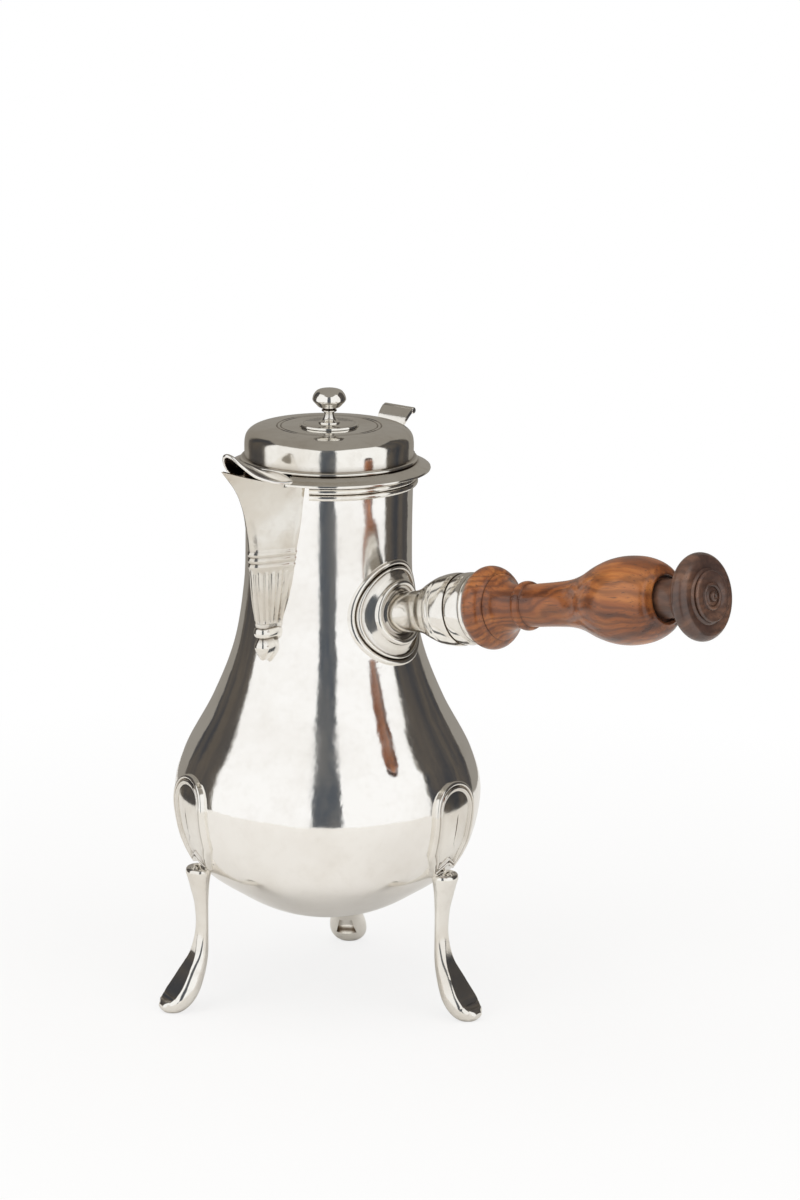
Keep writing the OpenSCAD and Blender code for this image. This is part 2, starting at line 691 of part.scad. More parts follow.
// Side view of the thumbpiece as a strip that curls outwards at its top
thumb_path = open_spline([[dome_r + 3.6, lid_under + 3.1], [dome_r + 4, rim_z + 8], [dome_r + 5.6, rim_z + 13.6],
                          [dome_r + 8.6, rim_z + thumb_h - 1.2], [dome_r + 10, rim_z + thumb_h - 0.9]], 4);

module thumbpiece() {
    t = 0.75;
    foot_w = 6.4;
    roll_r = 1.3;
    top_z = rim_z + thumb_h;
    side = open_spline([[foot_w / 2, rim_z], [foot_w / 2 + 0.3, rim_z + 7], [foot_w / 2 + 2.2, rim_z + 13],
                        [thumb_w / 2, top_z]], 4);
    color(silver) difference() {
        intersection() {
            translate([-thumb_w, 0, 0]) rotate([90, 0, 90]) linear_extrude(2 * thumb_w) union() {
                polygon(concat(moved(thumb_path, t), reversed(moved(thumb_path, -t))));
                translate(thumb_path[len(thumb_path) - 1]) circle(r = roll_r);
            }
            translate([0, flange_r + 20, 0]) rotate([90, 0, 0]) linear_extrude(60)
                polygon(concat(side, [[thumb_w / 2, top_z + 5], [-thumb_w / 2, top_z + 5]],
                               [for (p = reversed(side)) [-p[0], p[1]]]));
        }
        lid_solid();
        translate([-lid_knuckle_len / 2, dome_r + 2, hinge_z])
            cube([lid_knuckle_len, 12, lid_under + 1.7 + 1.1 - hinge_z]);
    }
}

// Stirrer hole

cover_under = lid_top + 0.1;
cover_top = cover_under + swivel_t;

module swivel_pin() {
    head_r = 1.8;
    head_h = 0.7;
    foot = lid_top - lid_wall - 1.4;
    color(worn_silver) translate(pivot) rotate_extrude()
        polygon([[0, foot], [swivel_pin_r, foot], [swivel_pin_r, cover_top + 0.1], [head_r, cover_top + 0.1],
                 [head_r - 0.3, cover_top + head_h], [0, cover_top + head_h + 0.3]]);
}

module swivel_washer() {
    washer_r = 2.6;
    washer_t = 0.8;
    color(worn_silver) translate(pivot + [0, 0, lid_top - lid_wall - washer_t]) difference() {
        cylinder(r = washer_r, h = washer_t);
        translate([0, 0, -1]) cylinder(r = swivel_pin_r, h = 3);
    }
}

shank_r = 1.5;

module swivel_cover() {
    lip = 0.3;
    color(silver) difference() {
        translate([0, 0, cover_under]) rotate_extrude()
            polygon([[0, 0], [swivel_r, 0], [swivel_r, swivel_t - lip], [swivel_r - lip, swivel_t], [0, swivel_t]]);
        translate([0, 0, cover_under - 1]) cylinder(r = shank_r, h = 4);
        translate(pivot + [0, 0, cover_under - 1]) cylinder(r = swivel_pin_r + run_gap, h = 4);
    }
}

module finial() {
    base_r = 4.3;
    stem_r = 1.9;
    knob_z = finial_h - 4.2;
    foot = [[0, -swivel_t], [shank_r, -swivel_t], [shank_r, 0], [base_r, 0], [base_r, 0.7]];
    stem = open_spline([[base_r - 0.6, 0.9], [base_r - 1.6, 1.8], [stem_r, 3.4], [stem_r + 0.2, 4.3]], 4);
    knob = open_spline([[2.5, 5.7], [4.1, 6.4], [5.2, 7.5], [finial_r - 0.2, knob_z - 1], [finial_r, knob_z],
                        [finial_r - 0.6, knob_z + 1.7], [4.3, finial_h - 0.9], [0, finial_h]], 3);
    color(silver) translate([0, 0, cover_top]) rotate_extrude()
        polygon(concat(foot, stem, reed(stem_r + 0.3, 4.5, 5.5, 0.8), knob));
}

body_shell();
rim_moulding();
spout();
spout_drop();
leg_under_handle();
leg_by_hinge();
leg_by_spout();
plate_under_handle();
plate_by_hinge();
plate_by_spout();
handle_rosette();
handle_socket();
handle_pin();
handle_grip();
handle_end_knob();
hinge_bracket();
hinge_pin();
lid();
lid_bezel();
beak_cover();
lid_hinge_leaf();
thumbpiece();
swivel_pin();
swivel_washer();
swivel_cover();
finial();
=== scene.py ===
"""Looks of the silver chocolate pot: old polished silver, turned wood, a white studio and the camera.

Every shape repeats the sizes of the CAD part, in millimetres, and is scaled to metres when its mesh is made.
"""

import math

import bmesh
import bpy
from mathutils import Matrix, Vector

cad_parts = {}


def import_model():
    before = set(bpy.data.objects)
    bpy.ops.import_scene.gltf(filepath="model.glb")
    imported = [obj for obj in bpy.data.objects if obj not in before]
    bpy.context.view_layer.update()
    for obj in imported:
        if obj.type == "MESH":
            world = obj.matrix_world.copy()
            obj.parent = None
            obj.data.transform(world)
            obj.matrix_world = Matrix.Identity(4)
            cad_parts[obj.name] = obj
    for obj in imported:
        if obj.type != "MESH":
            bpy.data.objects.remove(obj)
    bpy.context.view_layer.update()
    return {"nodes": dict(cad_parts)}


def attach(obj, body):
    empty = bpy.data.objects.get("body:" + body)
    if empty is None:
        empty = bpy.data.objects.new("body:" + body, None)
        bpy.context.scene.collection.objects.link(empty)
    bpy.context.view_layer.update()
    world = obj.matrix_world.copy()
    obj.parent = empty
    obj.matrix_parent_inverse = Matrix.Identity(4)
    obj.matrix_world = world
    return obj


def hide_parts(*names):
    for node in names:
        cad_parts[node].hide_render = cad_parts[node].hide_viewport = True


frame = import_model()

MM = 0.001
SEGMENTS = 192

# Sizes of the pot, as in the CAD part
RIM_Z = 213.0
BELLY_R = 60.4
BELLY_Z = 81.0
NECK_R = 32.6
LIP_OUT = 0.4
BOTTOM_Z = 33.0
WALL = 1.2
MOULDING_H = 5.8
MOULDING_OUT = 2.2
BEAK_REACH = 63.4
BEAK_RISE = 8.6
BEAK_HALF_W = 14.2
BEAK_WALL = 1.0
BAND_Z = RIM_Z - 25.5
BAND_H = 7.4
BAND_FOOT_Z = BAND_Z - BAND_H
FLUTE_FOOT_Z = RIM_Z - 55.0
FLUTE_COUNT = 7
FLUTE_DEPTH = 0.5
REEDS = 3
REED_OUT = 0.6
BALL_R = 3.3
LEG_TURN = 5.5
FOOT_R = 62.6
FOOT_HALF_W = 7.4
STEM_HALF_W = 3.6
PLATE_HALF_W = 13.0
PLATE_TOP_Z = 95.5
PLATE_FOOT_Z = 58.0
PLATE_T = 1.2
PLATE_BORDER = 3.6
PLATE_BORDER_T = 0.8
HANDLE_Z = RIM_Z - 59.5
HANDLE_TILT = math.radians(11.4)
ROSETTE_R = 20.7
SOCKET_NECK_R = 8.05
SOCKET_END = 79.4
TENON_R = 11.9
BULB_R = 16.8
KNOB_R = 16.6
FLANGE_R = NECK_R + 7.1
FLANGE_GAP = 0.4
DOME_R = NECK_R + 0.4
DOME_H = 17.0
LID_WALL = 1.1
BEZEL_DEPTH = 5.0
BEZEL_GAP = 0.75
COVER_REACH = 60.0
COVER_T = 0.8
COVER_RISE = 15.0
THUMB_W = 15.0
THUMB_H = 18.2
HOLE_R = 6.0
SWIVEL_R = 11.6
SWIVEL_T = 0.9
PIVOT_TURN = math.radians(39.4)
FINIAL_H = 14.0
FINIAL_R = 6.55
FINIAL_TENON_R = 1.5
SEAT_GAP = 0.15
LID_UNDER = RIM_Z + SEAT_GAP
LID_TOP = RIM_Z + DOME_H
COVER_UNDER = LID_TOP + 0.1
COVER_TOP = COVER_UNDER + SWIVEL_T
MOUTH_R = NECK_R + LIP_OUT - WALL
BEZEL_R = MOUTH_R - BEZEL_GAP


# Curves

def curve_point(a, b, c, d, t):
    """One point of the smooth curve through four knots, between the second and the third."""
    return tuple(
        0.5 * (2 * q + (r - p) * t + (2 * p - 5 * q + 4 * r - s) * t ** 2 + (3 * q - p - 3 * r + s) * t ** 3)
        for p, q, r, s in zip(a, b, c, d)
    )


def spline(knots, steps):
    """A smooth curve through all knots but the first and the last, which only steer its ends."""
    points = [
        curve_point(knots[i - 1], knots[i], knots[i + 1], knots[i + 2], s / steps)
        for i in range(1, len(knots) - 2)
        for s in range(steps)
    ]
    return points + [tuple(knots[-2])]


def open_spline(knots, steps):
    """The same curve with its ends steered straight on."""
    first = tuple(2 * a - b for a, b in zip(knots[0], knots[1]))
    last = tuple(2 * a - b for a, b in zip(knots[-1], knots[-2]))
    return spline([first, *knots, last], steps)


def reed(r, z0, z1, out, steps=14):
    """A half-round reed of a turned profile, from (r, z0) up to (r, z1)."""
    return [
        (r + out * math.sin(math.pi * i / steps), z0 + (z1 - z0) * (1 - math.cos(math.pi * i / steps)) / 2)
        for i in range(steps + 1)
    ]


def arc(centre_r, centre_z, radius, start, stop, steps=16):
    """Part of a circle in a turned profile, from start to stop degrees."""
    angles = [math.radians(start + (stop - start) * i / steps) for i in range(steps + 1)]
    return [(centre_r + radius * math.cos(a), centre_z + radius * math.sin(a)) for a in angles]


def moved(curve, d):
    """The curve moved sideways by d, to the right of its direction."""
    out = []
    for i, p in enumerate(curve):
        a = curve[max(i - 1, 0)]
        b = curve[min(i + 1, len(curve) - 1)]
        run = math.hypot(b[0] - a[0], b[1] - a[1])
        out.append((p[0] + d * (b[1] - a[1]) / run, p[1] - d * (b[0] - a[0]) / run))
    return out


def lookup(x, table):
    """Straight-line interpolation in a list of (x, y) that rises in x."""
    if x <= table[0][0]:
        return table[0][1]
    for (x0, y0), (x1, y1) in zip(table, table[1:]):
        if x <= x1:
            return y0 + (y1 - y0) * (x - x0) / (x1 - x0)
    return table[-1][1]


# Meshes

# Edges over this many degrees are kept crisp where nothing else is said
SHARP = 35
# Points nearer than this become one, and shorter edges than SPECK are dissolved, both in metres
WELD = 2e-6
SPECK = 1e-7


def new_object(name, points, faces, sharp=SHARP):
    """A smooth-shaded object from points in millimetres, with edges over sharp degrees kept crisp."""
    mesh = bpy.data.meshes.new(name)
    mesh.from_pydata([Vector(p) * MM for p in points], [], faces)
    work = bmesh.new()
    work.from_mesh(mesh)
    bmesh.ops.remove_doubles(work, verts=work.verts, dist=WELD)
    bmesh.ops.dissolve_degenerate(work, edges=work.edges, dist=SPECK)
    bmesh.ops.recalc_face_normals(work, faces=work.faces)
    work.to_mesh(mesh)
    work.free()
    obj = bpy.data.objects.new(name, mesh)
    bpy.context.scene.collection.objects.link(obj)
    smooth(obj, sharp)
    return obj


def smooth(obj, sharp):
    """Smooth shading that stays crisp at edges over sharp degrees."""
    obj.data.shade_smooth()
    obj.data.set_sharp_from_angle(angle=math.radians(sharp))


def lathe(name, profile, place=None, start=0.0, sweep=360.0, segments=None, sharp=SHARP):
    """The closed profile of (radius, height) turned round Z, then placed."""
    segments = segments or SEGMENTS
    whole = abs(sweep - 360) < 1e-6
    count = segments if whole else max(8, round(segments * sweep / 360)) + 1
    step = math.radians(sweep) / (segments if whole else count - 1)
    rings = []
    for k in range(count):
        a = math.radians(start) + step * k
        rings.append([(r * math.cos(a), r * math.sin(a), z) for r, z in profile])
    return loft(name, rings, around=whole, place=place, sharp=sharp)


def loft(name, rings, around=False, place=None, sharp=SHARP):
    """A skin over rings of points. With around the last ring meets the first, or else both are filled."""
    n = len(rings[0])
    points = [place @ Vector(p) if place else Vector(p) for ring in rings for p in ring]
    faces = []
    for i in range(len(rings) if around else len(rings) - 1):
        here = i * n
        there = (i + 1) % len(rings) * n
        for j in range(n):
            beside = (j + 1) % n
            faces.append((here + j, here + beside, there + beside, there + j))
    if not around:
        faces.append(tuple(range(n)))
        faces.append(tuple((len(rings) - 1) * n + j for j in range(n)))
    return new_object(name, points, faces, sharp)


def cut(obj, tool):
    """Cuts the tool's solid out of the object and removes the tool."""
    modifier = obj.modifiers.new("cut", "BOOLEAN")
    modifier.operation = "DIFFERENCE"
    modifier.solver = "EXACT"
    modifier.object = tool
    bpy.context.view_layer.update()
    shape = obj.evaluated_get(bpy.context.evaluated_depsgraph_get())
    mesh = bpy.data.meshes.new_from_object(shape)
    obj.modifiers.clear()
    obj.data = mesh
    bpy.data.objects.remove(tool)
    smooth(obj, SHARP)


def prism(outline, low, high, place=None):
    """A straight prism over an outline of (x, y) from height low to high."""
    rings = [[(x, y, z) for x, y in outline] for z in (low, high)]
    return loft("tool", rings, place=place)


def dress(obj, body, slot, material, *nodes):
    """Gives the piece its material and its body, and hides the CAD nodes that it stands for. The slot is not
    used.
    """
    obj.data.materials.clear()
    obj.data.materials.append(material)
    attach(obj, body)
    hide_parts(*nodes)


# Materials

# Sockets of the mix node when it mixes colours
MIX_FACTOR = 0
MIX_FIRST = 6
MIX_SECOND = 7
MIX_RESULT = 2


def node_tree(name):
    """A new material, its node tree and its main shader."""
    material = bpy.data.materials.new(name)
    material.use_nodes = True
    tree = material.node_tree
    return material, tree, tree.nodes["Principled BSDF"]


def add(tree, kind, **values):
    """A node of that kind, with its inputs and properties set by name."""
    node = tree.nodes.new(kind)
    for key, value in values.items():
        if key in node.inputs:
            node.inputs[key].default_value = value
        else:
            setattr(node, key, value)
    return node


def noise(tree, vector, scale, detail=4.0, roughness=0.55):
    """A noise texture over the given coordinates."""
    node = add(tree, "ShaderNodeTexNoise")
    node.inputs["Scale"].default_value = scale
    node.inputs["Detail"].default_value = detail
    node.inputs["Roughness"].default_value = roughness
    tree.links.new(vector, node.inputs["Vector"])
    return node.outputs["Fac"]


def stretched(tree, scale, turn=(0.0, 0.0, 0.0)):
    """Object coordinates stretched by scale and turned."""
    coords = add(tree, "ShaderNodeTexCoord")
    mapping = add(tree, "ShaderNodeMapping")
    mapping.inputs["Scale"].default_value = scale
    mapping.inputs["Rotation"].default_value = turn
    tree.links.new(coords.outputs["Object"], mapping.inputs["Vector"])
    return mapping.outputs["Vector"]


def ramp(tree, factor, stops):
    """A colour ramp with the given (position, colour) stops."""
    node = add(tree, "ShaderNodeValToRGB")
    elements = node.color_ramp.elements
    while len(elements) < len(stops):
        elements.new(0.5)
    for element, (position, colour) in zip(elements, stops):
        element.position = position
        element.color = (*colour, 1.0)
    tree.links.new(factor, node.inputs["Fac"])
    return node.outputs["Color"]


def span(tree, factor, low, high, start=0.0, stop=1.0):
    """The factor from start..stop mapped to low..high."""
    node = add(tree, "ShaderNodeMapRange")
    node.inputs["From Min"].default_value = start
    node.inputs["From Max"].default_value = stop
    node.inputs["To Min"].default_value = low
    node.inputs["To Max"].default_value = high
    tree.links.new(factor, node.inputs["Value"])
    return node.outputs["Result"]


def blend_colours(tree, factor, first, second):
    """The second colour mixed over the first by a factor output. A colour is a tuple or an output."""
    node = add(tree, "ShaderNodeMix", data_type="RGBA")
    tree.links.new(factor, node.inputs[MIX_FACTOR])
    for socket, colour in ((node.inputs[MIX_FIRST], first), (node.inputs[MIX_SECOND], second)):
        if isinstance(colour, tuple):
            socket.default_value = (*colour, 1.0)
        else:
            tree.links.new(colour, socket)
    return node.outputs[MIX_RESULT]


def scaled_and_added(tree, value, factor, offset):
    """The output value times a constant, plus the output offset. Vectors have a tuple for the constant."""
    kind = "ShaderNodeVectorMath" if isinstance(factor, tuple) else "ShaderNodeMath"
    node = add(tree, kind, operation="MULTIPLY_ADD")
    tree.links.new(value, node.inputs[0])
    node.inputs[1].default_value = factor
    tree.links.new(offset, node.inputs[2])
    return node.outputs[0]


def rescaled(tree, vector, scale):
    """Coordinates stretched once more by scale."""
    node = add(tree, "ShaderNodeMapping")
    node.inputs["Scale"].default_value = scale
    tree.links.new(vector, node.inputs["Vector"])
    return node.outputs["Vector"]


def bump(tree, height, strength, distance, under=None):
    """A bump of that height over an optional bump below it."""
    node = add(tree, "ShaderNodeBump")
    node.inputs["Strength"].default_value = strength
    node.inputs["Distance"].default_value = distance
    tree.links.new(height, node.inputs["Height"])
    if under:
        tree.links.new(under, node.inputs["Normal"])
    return node.outputs["Normal"]


def occlusion(tree, distance):
    """How open the surface is to its surroundings: 1 in the open and 0 in a deep corner."""
    node = add(tree, "ShaderNodeAmbientOcclusion", samples=6, only_local=True)
    node.inputs["Distance"].default_value = distance
    return node.outputs["AO"]


def silver_material(name, metal=(0.9, 0.885, 0.85), tarnish=0.6, bloom=0.3, waviness=1.0, polish=0.05):
    """Old polished silver: hammered waviness, fine scratches, a warm bloom and tarnish in the corners."""
    material, tree, shader = node_tree(name)
    patch_bloom = (0.66, 0.6, 0.51)
    cloud_bloom = (0.6, 0.54, 0.46)
    tarnished = (0.2, 0.15, 0.1)
    dull_patches = 0.09
    dull_clouds = 0.06
    even = stretched(tree, (1, 1, 1))
    patches = noise(tree, even, 30, 4, 0.6)
    clouds = noise(tree, even, 210, 5, 0.62)
    corners = span(tree, occlusion(tree, 2.4 * MM), 1.0, 0.0, 0.55, 0.97)
    bloomed = blend_colours(tree, span(tree, patches, 0.0, bloom, 0.42, 0.66), metal, patch_bloom)
    clouded = blend_colours(tree, span(tree, clouds, 0.0, 0.5 * bloom, 0.5, 0.75), bloomed, cloud_bloom)
    stained = blend_colours(tree, span(tree, corners, 0.0, tarnish), clouded, tarnished)
    tree.links.new(stained, shader.inputs["Base Color"])
    shader.inputs["Metallic"].default_value = 1.0
    rough = span(tree, patches, polish, polish + dull_patches, 0.35, 0.7)
    tree.links.new(scaled_and_added(tree, clouds, dull_clouds, rough), shader.inputs["Roughness"])
    waves = noise(tree, stretched(tree, (1, 1, 0.55)), 30, 1.5, 0.4)
    fine = noise(tree, even, 150, 2, 0.5)
    scratches = noise(tree, stretched(tree, (260, 260, 2400), (0.5, 0.3, 0.2)), 1.0, 3, 0.6)
    hairlines = noise(tree, stretched(tree, (1900, 170, 230), (0.1, 0.9, 0.4)), 1.0, 3, 0.6)
    normal = bump(tree, waves, 0.55 * waviness, 1.2 * MM)
    normal = bump(tree, fine, 0.34 * waviness, 0.18 * MM, normal)
    normal = bump(tree, scratches, 0.12, 0.05 * MM, normal)
    normal = bump(tree, hairlines, 0.12, 0.05 * MM, normal)
    tree.links.new(normal, shader.inputs["Normal"])
    return material


def wood_material(name, light, middle, dark, figure, stain=0.0, polish=0.26):
    """Waxed turned wood, with its grain along the handle, pores, painted shade in its recesses and stains.
    """
    pore_colour = (0.07, 0.03, 0.015)
    painted_shade_colour = (0.06, 0.022, 0.01)
    stain_colour = (0.045, 0.022, 0.018)
    material, tree, shader = node_tree(name)
    lean = math.pi / 2 - HANDLE_TILT
    along = stretched(tree, (1, 1, 1), (0.0, -lean, 0.0))
    grain = rescaled(tree, along, (120, 150, 13))
    wander = noise(tree, along, 26, 2, 0.5)
    warped = scaled_and_added(tree, wander, (3.2, 2.4, 1.6), grain)
    streaks = noise(tree, warped, 1.0, 6, 0.62)
    bands = add(tree, "ShaderNodeTexWave", wave_type="BANDS", bands_direction="X")
    bands.inputs["Scale"].default_value = 0.8
    bands.inputs["Distortion"].default_value = 6.5
    bands.inputs["Detail"].default_value = 3.0
    tree.links.new(warped, bands.inputs["Vector"])
    pores = noise(tree, rescaled(tree, along, (1500, 1500, 95)), 1.0, 2, 0.5)
    base = ramp(tree, streaks, [(0.3, dark), (0.5, middle), (0.68, light)])
    banded = blend_colours(tree, span(tree, bands.outputs["Fac"], 0.0, figure, 0.35, 1.0), base, dark)
    pitted = blend_colours(tree, span(tree, pores, 0.75, 0.0, 0.28, 0.42), banded, pore_colour)
    # Painted shade: the wood is darkened towards its recesses and grooves by ambient occlusion, not by any
    # lamp.
    hollow_shade = span(tree, occlusion(tree, 4 * MM), 0.9, 0.0, 0.45, 0.98)
    shaded = blend_colours(tree, hollow_shade, pitted, painted_shade_colour)
    blotches = span(tree, noise(tree, along, 60, 3, 0.5), 0.0, stain, 0.35, 0.65)
    stained = blend_colours(tree, blotches, shaded, stain_colour)
    tree.links.new(stained, shader.inputs["Base Color"])
    tree.links.new(span(tree, streaks, polish, polish + 0.2, 0.3, 0.7), shader.inputs["Roughness"])
    shader.inputs["Coat Weight"].default_value = 0.55
    shader.inputs["Coat Roughness"].default_value = 0.1
    shader.inputs["Specular IOR Level"].default_value = 0.45
    normal = bump(tree, streaks, 0.18, 0.15 * MM)
    normal = bump(tree, pores, 0.3, 0.08 * MM, normal)
    tree.links.new(normal, shader.inputs["Normal"])
    return material


body_silver = silver_material("body_silver", metal=(0.96, 0.945, 0.915), bloom=0.22, waviness=1.25,
                              polish=0.03)
beak_silver = silver_material("beak_silver", metal=(0.8, 0.775, 0.72), tarnish=0.85, bloom=0.75, polish=0.08)
lid_silver = silver_material("lid_silver", metal=(0.91, 0.89, 0.84), tarnish=0.85, bloom=0.5, waviness=0.9)
cast_silver = silver_material("cast_silver", metal=(0.91, 0.89, 0.845), tarnish=0.9, bloom=0.45,
                              waviness=0.9)
inner_silver = silver_material("inner_silver", tarnish=0.8, waviness=0.5)
brown_silver = silver_material("brown_silver", metal=(0.42, 0.27, 0.16), tarnish=0.9, polish=0.22)
worn_silver = silver_material("worn_silver", metal=(0.66, 0.63, 0.58), tarnish=0.8, waviness=0.5,
                              polish=0.2)
walnut = wood_material("walnut", (0.47, 0.165, 0.034), (0.27, 0.078, 0.016), (0.07, 0.02, 0.008),
                       figure=0.5)
dark_walnut = wood_material("dark_walnut", (0.21, 0.1, 0.055), (0.11, 0.053, 0.033), (0.04, 0.024, 0.018),
                            figure=0.4, stain=0.6, polish=0.3)

# Body

BODY_KNOTS = [
    (-20, BOTTOM_Z + 3), (0, BOTTOM_Z), (20, BOTTOM_Z + 3), (37, BOTTOM_Z + 11.5),
    (BELLY_R - 6.8, BELLY_Z - 23), (BELLY_R, BELLY_Z), (BELLY_R - 3.5, BELLY_Z + 18),
    (BELLY_R - 14.9, BELLY_Z + 40), (NECK_R + 4.5, RIM_Z - 70), (NECK_R + 0.7, RIM_Z - 47),
    (NECK_R, RIM_Z - 28), (NECK_R + LIP_OUT, RIM_Z), (NECK_R + 1, RIM_Z + 20)]
BODY_CURVE = spline(BODY_KNOTS, 14)
BODY_TABLE = [(z, r) for r, z in BODY_CURVE]


def body_radius(z):
    """Radius of the body's outside at height z."""
    return lookup(z, BODY_TABLE)


def body_shell():
    """The raised body, open at the top, with the opening behind the beak cut out."""
    outer = [p for p in BODY_CURVE if p[0] > 0.3]
    inner = [p for p in moved(BODY_CURVE, -WALL) if p[0] > 0.5 and p[1] < RIM_Z - 1]
    profile = [(0, BOTTOM_Z), *outer[:-1], (NECK_R + 0.3, RIM_Z - 0.25), (NECK_R + 0.05, RIM_Z),
               (MOUTH_R + 0.25, RIM_Z), (MOUTH_R, RIM_Z - 0.25), *reversed(inner), (0, BOTTOM_Z + WALL)]
    shell = lathe("body_shell_silver", profile)
    gap = [(-BEAK_HALF_W + 2.2, RIM_Z + 1), (BEAK_HALF_W - 2.2, RIM_Z + 1), (8.2, BAND_Z - 2),
           (4.5, BAND_Z - 11), (-4.5, BAND_Z - 11), (-8.2, BAND_Z - 2)]
    upright = Matrix.Translation((0, -NECK_R + 8, 0)) @ Matrix.Rotation(math.pi / 2, 4, "X")
    cut(shell, prism(gap, 0, 16, upright))
    dress(shell, "pot", "silver", body_silver, "body_shell")


def rim_moulding():
    """Two reeds and a fillet round the neck, from one side of the beak to the other."""
    foot = RIM_Z - MOULDING_H
    reed_h = MOULDING_H * 0.4
    reed_out = 0.9
    edge = NECK_R + MOULDING_OUT - reed_out
    top = RIM_Z - 0.1
    stop = math.degrees(math.asin(BEAK_HALF_W / NECK_R)) + 1.5
    profile = [(NECK_R - 0.5, top), (NECK_R - 0.5, foot), *reed(edge, foot, foot + reed_h, reed_out),
               *reed(edge, foot + reed_h, foot + 2 * reed_h, reed_out),
               (edge + 0.4, foot + 2 * reed_h + 0.1), (edge + 0.4, top - 0.15), (edge + 0.25, top)]
    ring = lathe("rim_moulding_silver", profile, start=-90 + stop, sweep=360 - 2 * stop)
    dress(ring, "pot", "silver", lid_silver, "rim_moulding")


# Spout

FLUTE_MIDDLE_Z = (FLUTE_FOOT_Z + BAND_FOOT_Z) / 2
# How far the beak and its drop reach into the body's wall
ROOT = 0.45

# Stations of the beak: reach and height of its keel, height at the joint with the neck, half width,
# bluntness of the section and depth of the flutes
BEAK_FOOT = (43, FLUTE_FOOT_Z, FLUTE_FOOT_Z, 5.2, 2.2, 0)
BEAK_MIDDLE = (44.9, FLUTE_MIDDLE_Z, FLUTE_MIDDLE_Z, 8, 2.1, 0)
BEAK_BAND_FOOT = (46, BAND_FOOT_Z, BAND_FOOT_Z, 9.6, 1.9, 0)
BEAK_BAND_TOP = (46.6, BAND_Z, BAND_Z, 10.6, 1.8, 0)
BEAK_UPPER = [
    BEAK_BAND_TOP,
    (48.2, BAND_Z + 8.5, BAND_Z + 7.5, 12.2, 1.6, 0),
    (BEAK_REACH - 12.8, RIM_Z - 8.5, RIM_Z - 12, BEAK_HALF_W - 1.1, 1.45, 0),
    (BEAK_REACH - 8, RIM_Z, RIM_Z - 6, BEAK_HALF_W - 0.5, 1.35, 0),
    (BEAK_REACH, RIM_Z + BEAK_RISE, RIM_Z - 0.6, BEAK_HALF_W, 1.28, 0)]


def plus(station, *changes):
    """A station of the beak with these amounts added."""
    return tuple(a + b for a, b in zip(station, changes))


def round_share(w, depth, power, u):
    """How far round the beak's section a point lies: 0 on the keel and 1 at the joint."""
    return math.hypot(w * u, depth * abs(u) ** power) / math.hypot(w, depth)


def beak_point(station, u, inset):
    """One point of the beak: u runs from -1 to 1 across it."""
    reach, keel_z, joint_z, half_w, power, flute_depth = station
    w = half_w - inset
    root = math.sqrt(NECK_R ** 2 - w ** 2) - 3
    depth = reach - 1.3 * inset - root
    f = max(0.0, 1 - abs(u) ** power)
    share = round_share(w, depth, power, u)
    groove = flute_depth * abs(math.sin(math.pi * FLUTE_COUNT * share)) ** 4
    return ((w - groove) * u, -(root + (depth - groove) * f), joint_z + (keel_z - joint_z) * f ** 1.5)


def beak_step(i, steps):
    """Steps across the beak that lie evenly round its section."""
    t = 2 * i / steps - 1
    return math.copysign(abs(t) ** 0.8, t)


def beak_side(station, inset):
    """How far u goes before the beak's skin lies inside the body's wall."""
    low, high = 0.3, 1.0
    for _ in range(24):
        u = (low + high) / 2
        x, y, z = beak_point(station, u, inset)
        if math.hypot(x, y) > body_radius(min(z, RIM_Z)) - ROOT:
            low = u
        else:
            high = u
    return low


def ease(t):
    """A soft step from 0 to 1 as t goes from 0 to 1."""
    t = min(max(t, 0.0), 1.0)
    return t * t * (3 - 2 * t)


def lapped(point, t):
    """A point of the beak, lifted sideways where the beak's edge laps on to the neck."""
    full_lift = 0.45
    lap_start = 0.92
    lap_run = 0.03
    lift = full_lift * ease((abs(t) - lap_start) / lap_run)
    return (point[0] + math.copysign(lift, t), point[1], point[2])


def spout():
    """The beak: flutes at its foot, a band of reeds over them and an open mouth on top."""
    steps = 16 * FLUTE_COUNT
    reed_steps = 12
    foot = [BEAK_FOOT, *open_spline([plus(BEAK_FOOT, 0.2, 1, 1, 0.2, 0, FLUTE_DEPTH),
                                     plus(BEAK_MIDDLE, 0, 0, 0, 0, 0, FLUTE_DEPTH),
                                     plus(BEAK_BAND_FOOT, 0, -1, -1, 0, 0, FLUTE_DEPTH)], 12)]
    band = []
    for i in range(REEDS * reed_steps + 1):
        t = i / (REEDS * reed_steps)
        bulge = REED_OUT * abs(math.sin(math.pi * REEDS * t))
        between = tuple((1 - t) * a + t * b for a, b in zip(BEAK_BAND_FOOT, BEAK_BAND_TOP))
        band.append(plus(between, bulge, 0, 0, 0.6 * bulge, 0, 0))
    across = [beak_step(i, steps) for i in range(steps + 1)]
    rings = []
    for station in foot + band + open_spline(BEAK_UPPER, 10)[1:]:
        plain = (*station[:5], 0)
        outside = beak_side(station, 0)
        inside = beak_side(plain, BEAK_WALL)
        ring = [lapped(beak_point(station, outside * t, 0), t) for t in across]
        ring += [beak_point(plain, -inside * t, BEAK_WALL) for t in across]
        rings.append(ring)
    beak = loft("spout_silver", rings, sharp=50)
    room_r = FLANGE_R + FLANGE_GAP
    over_beak = RIM_Z + 20
    room_for_lid = [(0, RIM_Z), (room_r, RIM_Z), (room_r, over_beak), (0, over_beak)]
    cut(beak, lathe("tool", room_for_lid))
    dress(beak, "pot", "silver", beak_silver, "spout")


